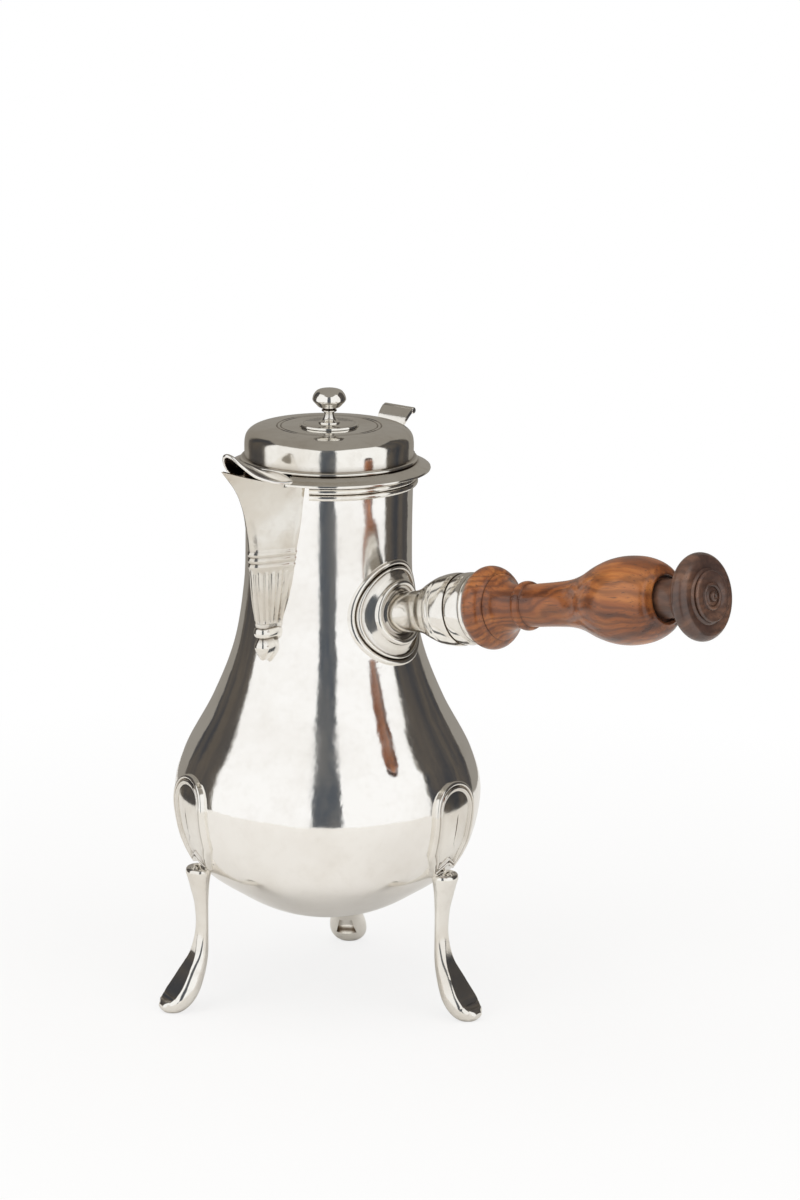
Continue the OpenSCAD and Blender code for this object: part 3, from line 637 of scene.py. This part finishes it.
def spout_drop():
    """The collar and pointed drop below the flutes: a half-round front whose back runs in to the body."""
    drop_z = FLUTE_FOOT_Z - 10
    out = NECK_R + 6.6
    collar_r = 3.6
    steps = 36
    outline = [(0.05, drop_z - 4.9), (0.5, drop_z - 4.88), (0.75, drop_z - 4.75)]
    outline += open_spline([(1.6, drop_z - 3.6), (BALL_R - 0.5, drop_z - 1.4), (BALL_R, drop_z + 0.6),
                            (BALL_R - 0.5, drop_z + 2.2), (1.9, drop_z + 3.8)], 8)
    outline += reed(collar_r - 0.9, drop_z + 4.4, drop_z + 8.2, 0.9)
    outline += [(collar_r - 0.4, FLUTE_FOOT_Z - 0.1), (collar_r - 0.6, FLUTE_FOOT_Z)]
    turns = [math.pi * (1 + k / steps) for k in range(steps + 1)]
    rings = []
    for r, z in outline:
        front = [(r * math.cos(a), r * math.sin(a) - out, z) for a in turns]
        back = ROOT - math.sqrt(body_radius(z) ** 2 - r ** 2)
        rings.append([*front, (r, back, z), (-r, back, z)])
    dress(loft("spout_drop_silver", rings), "pot", "silver", cast_silver, "spout_drop")


# Legs

# Stations of a leg: distance out, height, half thickness, half width and flatness of the front
LEG_STATIONS = [
    (FOOT_R - 6.4, PLATE_FOOT_Z + 0.4, 2.2, 2.6, 1), (FOOT_R - 6.5, PLATE_FOOT_Z - 1, 5, 5.8, 1),
    (FOOT_R - 7, 50, 3.8, 5, 1), (FOOT_R - 7.8, 42, 2.6, STEM_HALF_W + 0.4, 1),
    (FOOT_R - 8, 32, 2.5, STEM_HALF_W, 0.95), (FOOT_R - 6.6, 22, 3.9, STEM_HALF_W + 0.8, 0.72),
    (FOOT_R - 3.4, 14.6, 5.6, FOOT_HALF_W - 1.4, 0.6), (FOOT_R, 8.7, 6.2, FOOT_HALF_W, 0.56),
    (FOOT_R + 3.8, 4.6, 5.6, FOOT_HALF_W - 0.2, 0.56), (FOOT_R + 7.4, 2.9, 3.8, FOOT_HALF_W - 2, 0.6),
    (FOOT_R + 9.6, 2.4, 1.5, 2.4, 1)]


def foot_pocket(place):
    """The shallow hollow in the inner side of the foot, as a tool to cut with."""
    depth = 3.6
    lean = math.radians(63)
    half_foot = FOOT_HALF_W * 0.56
    half_head = FOOT_HALF_W * 0.34
    outline = [(-half_foot, 0), (half_foot, 0), (half_head, 7.4), (-half_head, 7.4)]
    set_at = Matrix.Translation((FOOT_R - 5.3, 0, 4.6)) @ Matrix.Rotation(lean, 4, "Y")
    return prism(outline, 0, depth, place @ set_at @ Matrix.Rotation(math.pi / 2, 4, "Z"))


def leg(name, angle):
    """A cast leg: a small ring under the plate, a slender stem and a shoe-shaped foot with a ridged toe."""
    path = open_spline(LEG_STATIONS, 10)
    steps = 72
    ring_z = PLATE_FOOT_Z - 2.2
    ring_out = 0.25
    ring_half_h = 1.2
    toe_r = FOOT_R + 2.5
    ridge_run = 2.4
    ridge_h = 0.4
    foot_of_wall = BOTTOM_Z + 8
    rings = []
    for i, (r, z, thick, half_w, flat) in enumerate(path):
        a = path[max(i - 1, 0)]
        b = path[min(i + 1, len(path) - 1)]
        run = math.hypot(b[0] - a[0], b[1] - a[1])
        out = (-(b[1] - a[1]) / run, (b[0] - a[0]) / run)
        swell = ring_out * math.exp(-((z - ring_z) / ring_half_h) ** 2)
        ridge = ridge_h * ((r - toe_r) / ridge_run % 1) if r > toe_r else 0
        ring = []
        for k in range(steps):
            turn = 2 * math.pi * k / steps
            t = (thick + swell) * min(0.92 * math.cos(turn), flat)
            if math.cos(turn) > 0.1:
                t -= ridge * math.cos(turn)
            x, y, height = r + out[0] * t, half_w * math.sin(turn), max(z + out[1] * t, 0)
            seat = body_radius(height) - 0.4 if height > foot_of_wall else 0
            ring.append((max(x, math.sqrt(max(seat ** 2 - y ** 2, 0))), y, height))
        rings.append(ring)
    place = Matrix.Rotation(math.radians(angle), 4, "Z")
    piece = loft(name + "_silver", rings, place=place, sharp=32)
    cut(piece, foot_pocket(place))
    dress(piece, "pot", "silver", cast_silver, name)


def shield(half_w, foot, top):
    """Outline of a leg plate seen from outside: a round-headed shield with a notched foot."""
    shoulder = top - half_w
    corner_z = foot + 9
    corner_w = half_w * 0.96
    point_w = half_w * 0.55
    side_steps = 8
    head_steps = 36
    foot_steps = 6
    side = []
    for i in range(side_steps):
        t = i / side_steps
        side.append((corner_w + (half_w - corner_w) * t, corner_z + (shoulder - corner_z) * t))
    head = []
    for i in range(head_steps + 1):
        a = math.pi * i / head_steps
        head.append((half_w * math.cos(a), shoulder + half_w * max(math.sin(a), 0) ** 0.8))
    foot_line = []
    corners = [(-corner_w, corner_z), (-point_w, foot), (0, foot + 3.4), (point_w, foot)]
    for (x0, z0), (x1, z1) in zip(corners, corners[1:] + [side[0]]):
        for i in range(foot_steps):
            t = i / foot_steps
            foot_line.append((x0 + (x1 - x0) * t, z0 + (z1 - z0) * t))
    return side + head + [(-x, z) for x, z in reversed(side[1:])] + foot_line


def leg_plate(name, angle):
    """The plate as nested shield outlines: a reeded border and a softly crowned field."""
    steps = 8
    field = PLATE_BORDER + 0.5
    section = [(0, -0.5), (0, PLATE_T + 0.2)]
    for i in range(steps + 1):
        t = i / steps
        outer_reed = PLATE_BORDER_T * math.sin(math.pi * (0.2 + 0.8 * t)) ** 0.7
        section.append((0.08 + 1.7 * t, PLATE_T + outer_reed))
    inner_steps = 6
    for i in range(1, inner_steps + 1):
        t = i / inner_steps
        section.append((1.8 + 1.5 * t, PLATE_T - 0.05 + 0.62 * math.sin(math.pi * t)))
    section += [(PLATE_BORDER + 0.1, PLATE_T - 0.25), (field, PLATE_T - 0.3)]
    for i in range(1, steps + 1):
        t = i / steps
        section.append((field + 8.5 * t, PLATE_T - 0.3 + 0.3 * math.sin(math.pi / 2 * t)))
    skins = []
    for inset, height in section:
        ring = []
        for y, z in shield(PLATE_HALF_W - inset, PLATE_FOOT_Z + inset, PLATE_TOP_Z - inset):
            r = body_radius(z) + height
            ring.append((math.sqrt(r * r - y * y), y, z))
        skins.append(ring)
    piece = loft(name + "_silver", skins, place=Matrix.Rotation(math.radians(angle), 4, "Z"), sharp=50)
    dress(piece, "pot", "silver", cast_silver, name)


# Handle

ON_HANDLE = Matrix.Translation((0, 0, HANDLE_Z)) @ Matrix.Rotation(math.pi / 2 - HANDLE_TILT, 4, "Y")
ROSETTE_HOLE_R = SOCKET_NECK_R + 0.2


def skin_at(rho, a):
    """Distance along the handle's axis at which the body's skin lies."""
    r = body_radius(HANDLE_Z + NECK_R * math.sin(HANDLE_TILT) - rho * math.cos(a))
    root = math.sqrt(r * r - (rho * math.sin(a)) ** 2)
    return (root - rho * math.cos(a) * math.sin(HANDLE_TILT)) / math.cos(HANDLE_TILT)


def flat_reed(low, start, stop, out, steps):
    """A reed on a flat face: (distance from the axis, height) from start inwards to stop."""
    return [(r, h) for h, r in reed(low, start, stop, out, steps)]


def handle_rosette():
    """The turned plate round the socket, whose foot follows the body's skin."""
    section = [(ROSETTE_R, -0.5), *flat_reed(0, ROSETTE_R, ROSETTE_R - 2.4, 1.3, 12),
               *flat_reed(0.9, ROSETTE_R - 2.6, ROSETTE_R - 4, 0.8, 10)]
    section += open_spline([(ROSETTE_R - 4.1, 0.9), (ROSETTE_R - 5.4, 1.4), (ROSETTE_R - 7, 2.5),
                            (12.85, 3.1)], 4)
    section += flat_reed(3.2, 12.8, 10.4, 1.4, 12)
    section += open_spline([(10.3, 3.1), (9.6, 2.7), (9, 2.9), (ROSETTE_HOLE_R, 3.6)], 4)
    section.append((ROSETTE_HOLE_R, -0.5))
    rings = []
    for k in range(SEGMENTS):
        a = 2 * math.pi * k / SEGMENTS
        rings.append([(rho * math.cos(a), rho * math.sin(a), skin_at(rho, a) + h) for rho, h in section])
    piece = loft("handle_rosette_silver", rings, around=True, place=ON_HANDLE, sharp=60)
    dress(piece, "pot", "silver", cast_silver, "handle_rosette")


def handle_socket():
    """The silver socket: a bell with an engraved line, two reeds at its end and a bore for the tenon."""
    start = 33.4
    bell = SOCKET_NECK_R + 6.1
    bore = TENON_R + 0.05
    line_at = 61.6
    line_depth = 0.28
    line_half_w = 0.45
    last_reed = SOCKET_END - 2
    knots = [(ROSETTE_HOLE_R - 0.1, 25), (ROSETTE_HOLE_R - 0.1, 38), (SOCKET_NECK_R, 46),
             (SOCKET_NECK_R + 1.1, 51.2), (SOCKET_NECK_R + 3.2, 55.6), (bell - 0.9, 60.8), (bell, 66.5),
             (bell - 0.2, 70)]
    outer = [p for p in open_spline(knots, 10) if p[1] >= start]
    engraved = [(r - line_depth * math.exp(-((s - line_at) / line_half_w) ** 2), s) for r, s in outer]
    profile = [(0, start), *engraved, *reed(bell - 0.8, 70, last_reed, 0.7),
               *reed(bell - 0.8, last_reed, SOCKET_END, 0.5), (bore, SOCKET_END), (bore, 64),
               (TENON_R - 1.35, 61), (5.6, 50), (0, 48)]
    piece = lathe("handle_socket_silver", profile, ON_HANDLE, sharp=40)
    dress(piece, "pot", "silver", cast_silver, "handle_socket")


def handle_grip():
    """The turned grip: a bun, a collar and a bulb, with a tenon and a hole for the end knob's spigot."""
    spigot = 5.05
    bun_r = 5.2
    butt = SOCKET_END + 0.01
    bun = arc(BULB_R - 0.7 - bun_r, 83.9, bun_r, -60, 75)
    cove = open_spline([(12.7, 89.05), (12.5, 89.4), (10.4, 91.4), (8.9, 94.5), (8.3, 99.2)], 8)
    neck = open_spline([(8.2, 104), (8.5, 116), (9.2, 124.5), (11, 131), (14.1, 138), (16.1, 144.6),
                        (BULB_R, 151.6), (16, 159.4), (13.4, 165.6), (9.9, 168)], 12)
    profile = [(0, 65), (TENON_R, 65), (TENON_R, butt), (13.0, butt), *bun, *cove,
               *reed(8.4, 99.4, 103.6, 1.1), *neck, (9.6, 168.15), (9.2, 168.1), (8.8, 167.8), (8.8, 166.4),
               (spigot, 166.4), (spigot, 150), (0, 150)]
    piece = lathe("handle_grip_wood", profile, ON_HANDLE, sharp=40)
    dress(piece, "pot", "grip_wood", walnut, "handle_grip")


def handle_end_knob():
    """The darker end piece: a spigot, a neck and a thick disc whose face is turned with reeds and a boss."""
    edge = 3.5
    disc_at = 184
    face = disc_at + edge
    butt = 166.41
    neck = open_spline([(7.6, butt), (7.4, 173), (8.5, 178.6)], 10)
    rim = arc(KNOB_R - edge, disc_at, edge, -90, 90, 24)
    profile = [(0, 151), (5, 151), (5, butt), *neck, (9.2, 180.2), *rim, (11.2, face - 0.1),
               (10.6, face - 0.25), (10, face + 0.4), *reed(8.9, face + 0.6, face + 2, 0.8),
               (8, face + 2.05), (6.2, face + 1.5), (5.4, face + 1.4),
               *flat_reed(face + 1.5, 5.3, 3.6, 0.8, 8), (3, face + 1.7),
               *flat_reed(face + 1.8, 2.0, 0.0, 1.3, 8)]
    piece = lathe("handle_end_knob_wood", profile, ON_HANDLE, sharp=45)
    dress(piece, "pot", "knob_wood", dark_walnut, "handle_end_knob")


# Lid

def lid():
    """The flange, a reed, the dome with two engraved lines and the stirrer hole, with room for the beak."""
    line_half_w = 0.35
    line_depth = 0.4
    outline = [(FLANGE_R - 0.5, LID_UNDER), (FLANGE_R - 0.1, LID_UNDER + 0.15), (FLANGE_R, LID_UNDER + 0.5),
               (FLANGE_R - 0.1, LID_UNDER + 0.95), (FLANGE_R - 0.4, LID_UNDER + 1.2)]
    outline += open_spline([(FLANGE_R - 1, LID_UNDER + 1.4), (DOME_R + 4, LID_UNDER + 2.2),
                            (DOME_R + 2.2, LID_UNDER + 3.2)], 10)
    outline += reed(DOME_R + 0.7, LID_UNDER + 3.3, LID_UNDER + 4.9, 0.9)
    outline += open_spline([(DOME_R, LID_UNDER + 5.1), (DOME_R, LID_TOP - 6), (DOME_R - 0.9, LID_TOP - 3),
                            (DOME_R - 3.4, LID_TOP - 1.1), (DOME_R - 8, LID_TOP - 0.25),
                            (SWIVEL_R + 10, LID_TOP)], 12)
    for line_r in (20.4, 18.9):
        outline += [(line_r + line_half_w, LID_TOP), (line_r, LID_TOP - line_depth),
                    (line_r - line_half_w, LID_TOP)]
    inside = [(DOME_R - LID_WALL, LID_UNDER + 4.6), (DOME_R - LID_WALL, LID_TOP - 6.4),
              (DOME_R - 2, LID_TOP - 3.8), (DOME_R - 4.6, LID_TOP - 2.1), (DOME_R - 9, LID_TOP - 1.3),
              (SWIVEL_R + 9, LID_TOP - LID_WALL)]
    profile = [*outline, (HOLE_R, LID_TOP), (HOLE_R, LID_TOP - LID_WALL), *reversed(open_spline(inside, 5)),
               (BEZEL_R, LID_UNDER + 2.6), (BEZEL_R, LID_UNDER)]
    piece = lathe("lid_silver", profile, sharp=40)
    wedge = [(-10.6, -DOME_R + 5), (10.6, -DOME_R + 5), (7.6, -FLANGE_R - 1), (-7.6, -FLANGE_R - 1)]
    cut(piece, prism(wedge, LID_UNDER - 1, LID_UNDER + 4))
    dress(piece, "lid", "silver", lid_silver, "lid")


def lid_bezel():
    """The ring below the lid that centres it in the neck, open at the beak."""
    gap = 28
    foot = RIM_Z - BEZEL_DEPTH
    profile = [(BEZEL_R - 0.8, LID_UNDER + 2.6), (BEZEL_R - 1.1, foot), (BEZEL_R - 0.3, foot),
               (BEZEL_R, LID_UNDER - 0.6), (BEZEL_R, LID_UNDER + 2.6)]
    ring = lathe("lid_bezel_silver", profile, start=-90 + gap, sweep=360 - 2 * gap)
    dress(ring, "lid", "silver", inner_silver, "lid_bezel")


# Stations of the beak's cover: distance out, half width, and heights of its edge and crest over the rim
COVER_STATIONS = [
    (DOME_R + 0.6, 12.2, 2, 4.4), (FLANGE_R, 11.2, 2.3, 5.2), (COVER_REACH - 15, 9.6, 3.4, 7.2),
    (COVER_REACH - 8.6, 7, 6.2, 10.6), (COVER_REACH - 3.4, 4.6, 10.6, 13.4),
    (COVER_REACH - 1, 2.6, 13.6, COVER_RISE - 0.2), (COVER_REACH, 0.8, COVER_RISE - 0.4, COVER_RISE)]


def bead(name, path, radius):
    """A round bead along a path of points."""
    sides = 16
    turns = [2 * math.pi * k / sides for k in range(sides)]
    rings = []
    for i, point in enumerate(path):
        before = Vector(path[max(i - 1, 0)])
        after = Vector(path[min(i + 1, len(path) - 1)])
        along = (after - before).normalized()
        side = along.cross(Vector((0, 0, 1))).normalized()
        up = side.cross(along)
        rings.append([Vector(point) + radius * (math.cos(a) * side + math.sin(a) * up) for a in turns])
    return loft(name, rings, sharp=60)


def beak_cover():
    """The arched cover over the beak, brown on the faces that look down, with a bead along its edge."""
    steps = 40
    bead_r = 0.7
    bead_inset = 0.3
    bead_lift = 0.15
    looks_down = -0.05
    curve = open_spline(COVER_STATIONS, 10)
    rings = []
    for reach, half_w, edge, crest in curve:
        arch = []
        for i in range(steps + 1):
            u = 2 * i / steps - 1
            arch.append((half_w * u, -reach, RIM_Z + edge + (crest - edge) * (1 - abs(u) ** 2.4)))
        under = [(x * max(0.3, 1 - COVER_T / half_w), y, z - COVER_T) for x, y, z in reversed(arch)]
        rings.append(arch + under)
    piece = loft("beak_cover_silver", rings, sharp=50)
    dress(piece, "lid", "silver", body_silver, "beak_cover")
    piece.data.materials.append(brown_silver)
    for face in piece.data.polygons:
        if face.normal.z < looks_down:
            face.material_index = 1
    right = [(half_w - bead_inset, -reach, RIM_Z + edge - COVER_T / 2 + bead_lift)
             for reach, half_w, edge, _ in curve if reach > DOME_R + 3]
    left = [(-x, y, z) for x, y, z in right]
    border = bead("beak_cover_bead", left + right[::-1], bead_r)
    dress(border, "lid", "silver", body_silver, "beak_cover")


def thumbpiece():
    """A plate that leans back and flares towards a rolled top edge."""
    half_t = 0.75
    steps = 12
    path = open_spline([(DOME_R + 3.6, LID_UNDER + 3.1), (DOME_R + 4, RIM_Z + 8),
                        (DOME_R + 5.6, RIM_Z + 13.6), (DOME_R + 8.6, RIM_Z + THUMB_H - 1.2),
                        (DOME_R + 10, RIM_Z + THUMB_H - 0.9)], 10)
    side = open_spline([(RIM_Z, 3.2), (RIM_Z + 7, 3.8), (RIM_Z + 13, 6.6),
                        (RIM_Z + THUMB_H, THUMB_W / 2)], 6)
    front = moved(path, half_t)
    back = moved(path, -half_t)
    rings = []
    for (fy, fz), (by, bz) in zip(front, back):
        half_f = lookup(fz, side)
        half_b = lookup(bz, side)
        ring = [(-half_f + 2 * half_f * i / steps, fy, fz) for i in range(steps + 1)]
        ring += [(half_b - 2 * half_b * i / steps, by, bz) for i in range(steps + 1)]
        rings.append(ring)
    tip_y, tip_z = path[-1]
    piece = loft("thumbpiece_silver", rings, sharp=50)
    dress(piece, "lid", "silver", cast_silver, "thumbpiece")
    across = Matrix.Translation((0, tip_y, tip_z)) @ Matrix.Rotation(math.pi / 2, 4, "Y")
    end = THUMB_W / 2
    rounded_end = [(0, 0), (1.0, 0), (1.25, 0.2), (1.3, 0.5)]
    roll = [(r, h - end) for r, h in rounded_end] + [(r, end - h) for r, h in reversed(rounded_end)]
    edge = lathe("thumbpiece_roll", roll, across, segments=32)
    dress(edge, "lid", "silver", cast_silver, "thumbpiece")


def swivel_cover():
    """The round cover of the stirrer hole, with an engraved line, and holes for the finial and the pin."""
    profile = [(FINIAL_TENON_R, COVER_UNDER), (SWIVEL_R - 0.1, COVER_UNDER), (SWIVEL_R, COVER_UNDER + 0.1),
               (SWIVEL_R, COVER_TOP - 0.3), (SWIVEL_R - 0.1, COVER_TOP - 0.1), (SWIVEL_R - 0.35, COVER_TOP),
               (SWIVEL_R - 1.3, COVER_TOP), (SWIVEL_R - 1.5, COVER_TOP - 0.12), (SWIVEL_R - 1.7, COVER_TOP),
               (FINIAL_TENON_R, COVER_TOP)]
    piece = lathe("swivel_cover_silver", profile)
    out = SWIVEL_R - 2.3
    pivot = (-out * math.sin(PIVOT_TURN), out * math.cos(PIVOT_TURN), 0)
    hole_r = 1.05
    low = COVER_UNDER - 1
    high = COVER_TOP + 1
    hole = [(0, low), (hole_r, low), (hole_r, high), (0, high)]
    cut(piece, lathe("tool", hole, Matrix.Translation(pivot), segments=32))
    dress(piece, "stirrer_cover", "silver", lid_silver, "swivel_cover")


def finial():
    """The knob on the stirrer hole's cover, with its foot, stem and collar."""
    base_r = 4.3
    stem_r = 1.9
    knob_z = FINIAL_H - 4.2
    foot = [(0, -SWIVEL_T), (FINIAL_TENON_R, -SWIVEL_T), (FINIAL_TENON_R, 0), (base_r - 0.05, 0),
            (base_r, 0.1), (base_r, 0.55), (base_r - 0.15, 0.7)]
    stem = open_spline([(base_r - 0.6, 0.9), (base_r - 1.6, 1.8), (stem_r, 3.4), (stem_r + 0.2, 4.3)], 8)
    knob = open_spline([(2.5, 5.7), (4.1, 6.4), (5.2, 7.5), (FINIAL_R - 0.2, knob_z - 1), (FINIAL_R, knob_z),
                        (FINIAL_R - 0.6, knob_z + 1.7), (4.3, FINIAL_H - 0.9), (0, FINIAL_H)], 8)
    profile = foot + stem + reed(stem_r + 0.3, 4.5, 5.5, 0.8) + knob
    piece = lathe("finial_silver", profile, Matrix.Translation((0, 0, COVER_TOP)), segments=96, sharp=45)
    dress(piece, "stirrer_cover", "silver", cast_silver, "finial")


def small_fittings():
    """The CAD's own hinge and pins, with their edges rounded a little."""
    fittings = {"hinge_bracket": cast_silver, "hinge_pin": worn_silver, "lid_hinge_leaf": cast_silver,
                "handle_pin": worn_silver, "swivel_pin": worn_silver, "swivel_washer": worn_silver}
    for name, metal in fittings.items():
        obj = frame["nodes"][name]
        obj.data.materials.clear()
        obj.data.materials.append(metal)
        bevel = obj.modifiers.new("soft_edges", "BEVEL")
        bevel.width = 0.15 * MM
        bevel.segments = 2
        bevel.angle_limit = math.radians(35)


body_shell()
rim_moulding()
spout()
spout_drop()
for node, turn in (("under_handle", 0), ("by_hinge", 117), ("by_spout", 240)):
    leg("leg_" + node, LEG_TURN + turn)
    leg_plate("plate_" + node, LEG_TURN + turn)
handle_rosette()
handle_socket()
handle_grip()
handle_end_knob()
lid()
lid_bezel()
beak_cover()
thumbpiece()
swivel_cover()
finial()
small_fittings()

# Studio

CAMERA_AT = Vector((1.2555, -1.4842, 0.6305))
CAMERA_TO = Vector((0.0217, 0.0178, 0.1602))
CAMERA_ROLL = math.radians(-0.41)
CAMERA_LENS = 152.8
VIEW_TURN = math.radians(39.4)
LAMPS_AIM = Vector((0, 0, 0.12))
TABLE_R = 0.45
FLOOR_R = 6.0


def shining_material(name):
    """A material that shines white by itself and that no lamp lights, with its node tree and shader."""
    material, tree, shader = node_tree(name)
    shader.inputs["Base Color"].default_value = (0, 0, 0, 1.0)
    shader.inputs["Specular IOR Level"].default_value = 0.0
    shader.inputs["Emission Color"].default_value = (1.0, 1.0, 1.0, 1.0)
    shader.inputs["Emission Strength"].default_value = 1.0
    return material, tree, shader


def flag_material(name, cool, warm):
    """A dim cloth for the reflections, uneven between a cool and a warm grey."""
    material, tree, shader = shining_material(name)
    folds = noise(tree, stretched(tree, (1, 1, 0.35)), 2.2, 5, 0.6)
    tree.links.new(ramp(tree, folds, [(0.38, cool), (0.62, warm)]), shader.inputs["Emission Color"])
    return material


def floor_material():
    """Matt white that looks whiter to the camera the farther it lies from the pot."""
    glow_near = 0.78
    glow_start = 0.12
    material, tree, shader = node_tree("floor_white")
    shader.inputs["Base Color"].default_value = (0.74, 0.72, 0.69, 1.0)
    shader.inputs["Roughness"].default_value = 0.9
    shader.inputs["Specular IOR Level"].default_value = 0.0
    coords = add(tree, "ShaderNodeTexCoord")
    distance = add(tree, "ShaderNodeVectorMath", operation="LENGTH")
    tree.links.new(coords.outputs["Object"], distance.inputs[0])
    glow = span(tree, distance.outputs["Value"], glow_near, 1.0, glow_start, TABLE_R)
    path = add(tree, "ShaderNodeLightPath")
    to_camera = add(tree, "ShaderNodeMath", operation="MULTIPLY")
    tree.links.new(glow, to_camera.inputs[0])
    tree.links.new(path.outputs["Is Camera Ray"], to_camera.inputs[1])
    white = add(tree, "ShaderNodeEmission")
    white.inputs["Strength"].default_value = 1.0
    mix = add(tree, "ShaderNodeMixShader")
    tree.links.new(to_camera.outputs[0], mix.inputs[0])
    tree.links.new(shader.outputs[0], mix.inputs[1])
    tree.links.new(white.outputs[0], mix.inputs[2])
    tree.links.new(mix.outputs[0], tree.nodes["Material Output"].inputs["Surface"])
    return material


def floor():
    """A white table near the pot, and white floor beyond it that shows in no reflection."""
    material = floor_material()
    circle = [(math.cos(math.radians(a)), math.sin(math.radians(a))) for a in range(0, 360, 5)]
    count = len(circle)
    near = [(x * TABLE_R / MM, y * TABLE_R / MM, 0) for x, y in circle]
    far = [(x * FLOOR_R / MM, y * FLOOR_R / MM, 0) for x, y in circle]
    around = [(k, (k + 1) % count, (k + 1) % count + count, k + count) for k in range(count)]
    table = new_object("table", near, [tuple(range(count))])
    beyond = new_object("floor", near + far, around)
    beyond.visible_glossy = False
    for obj in (table, beyond):
        obj.data.materials.append(material)


def seen_from_front(angle, distance, height):
    """A point round the pot: angle is measured from the camera's side, positive to the right."""
    a = VIEW_TURN + math.radians(angle)
    return Vector((math.sin(a) * distance, -math.cos(a) * distance, height))


def panel(name, angle, distance, width, low, high, material):
    """An upright panel that faces the pot. It is seen only in reflections."""
    centre = seen_from_front(angle, distance, 0)
    a = VIEW_TURN + math.radians(angle)
    side = Vector((math.cos(a), math.sin(a), 0))
    left = (centre - side * width / 2).xy
    right = (centre + side * width / 2).xy
    points = [(*left, low), (*right, low), (*right, high), (*left, high)]
    obj = new_object(name, [(x / MM, y / MM, z / MM) for x, y, z in points], [(0, 1, 2, 3)])
    obj.data.materials.append(material)
    obj.visible_camera = False
    obj.visible_diffuse = False
    obj.visible_shadow = False


def area_light(name, angle, distance, height, width, tall, power):
    """A soft rectangular lamp that faces the pot."""
    data = bpy.data.lights.new(name, "AREA")
    data.shape = "RECTANGLE"
    data.size = width
    data.size_y = tall
    data.energy = power
    obj = bpy.data.objects.new(name, data)
    bpy.context.scene.collection.objects.link(obj)
    obj.location = seen_from_front(angle, distance, height)
    obj.rotation_euler = (LAMPS_AIM - obj.location).to_track_quat("-Z", "Y").to_euler()
    obj.visible_glossy = False


def world():
    """Plain white for the camera, dim warm grey for reflections and pale grey for the light on the set."""
    on_the_set = ((0.9, 0.9, 0.9), 0.75)
    in_reflections = ((0.3, 0.28, 0.25), 1.0)
    for_the_camera = ((1.0, 1.0, 1.0), 1.0)
    scene_world = bpy.data.worlds.new("studio")
    bpy.context.scene.world = scene_world
    scene_world.use_nodes = True
    tree = scene_world.node_tree
    tree.nodes.clear()
    out = add(tree, "ShaderNodeOutputWorld")
    path = add(tree, "ShaderNodeLightPath")
    shades = []
    for colour, strength in (on_the_set, in_reflections, for_the_camera):
        shade = add(tree, "ShaderNodeBackground")
        shade.inputs["Color"].default_value = (*colour, 1.0)
        shade.inputs["Strength"].default_value = strength
        shades.append(shade.outputs[0])
    result = shades[0]
    for ray, shade in (("Is Glossy Ray", shades[1]), ("Is Camera Ray", shades[2])):
        mix = add(tree, "ShaderNodeMixShader")
        tree.links.new(path.outputs[ray], mix.inputs[0])
        tree.links.new(result, mix.inputs[1])
        tree.links.new(shade, mix.inputs[2])
        result = mix.outputs[0]
    tree.links.new(result, out.inputs["Surface"])


def camera():
    """The camera that was fitted to the photograph, with its slight roll."""
    data = bpy.data.cameras.new("camera")
    data.lens = CAMERA_LENS
    data.clip_end = 50
    obj = bpy.data.objects.new("camera", data)
    bpy.context.scene.collection.objects.link(obj)
    look = (CAMERA_TO - CAMERA_AT).to_track_quat("-Z", "Y").to_matrix().to_4x4()
    obj.matrix_world = Matrix.Translation(CAMERA_AT) @ look @ Matrix.Rotation(-CAMERA_ROLL, 4, "Z")
    bpy.context.scene.camera = obj


def studio():
    """Two softboxes with a dim gap between them, a dark flag on each side, and three lamps."""
    below = -2.0
    dark_flag = flag_material("flag_dark", (0.045, 0.048, 0.056), (0.11, 0.095, 0.08))
    grey_flag = flag_material("flag_grey", (0.08, 0.092, 0.11), (0.15, 0.15, 0.15))
    softbox = shining_material("panel_white")[0]
    panel("gap_front", 0, 2.5, 1.2, below, 3.0, grey_flag)
    panel("softbox_left", -53.5, 1.9, 3.48, below, 2.6, softbox)
    panel("softbox_right", 47.5, 1.9, 2.81, below, 2.6, softbox)
    panel("flag_left", -118, 2.0, 1.5, below, 2.2, dark_flag)
    panel("flag_right", 112, 2.0, 2.0, below, 2.2, dark_flag)
    area_light("key", -50, 1.8, 1.3, 1.4, 1.4, 14)
    area_light("fill", 50, 1.8, 1.2, 1.4, 1.4, 10)
    area_light("top", 0, 0.3, 2.2, 1.6, 1.6, 14)


floor()
world()
studio()
camera()
bpy.context.scene.view_settings.view_transform = "Standard"
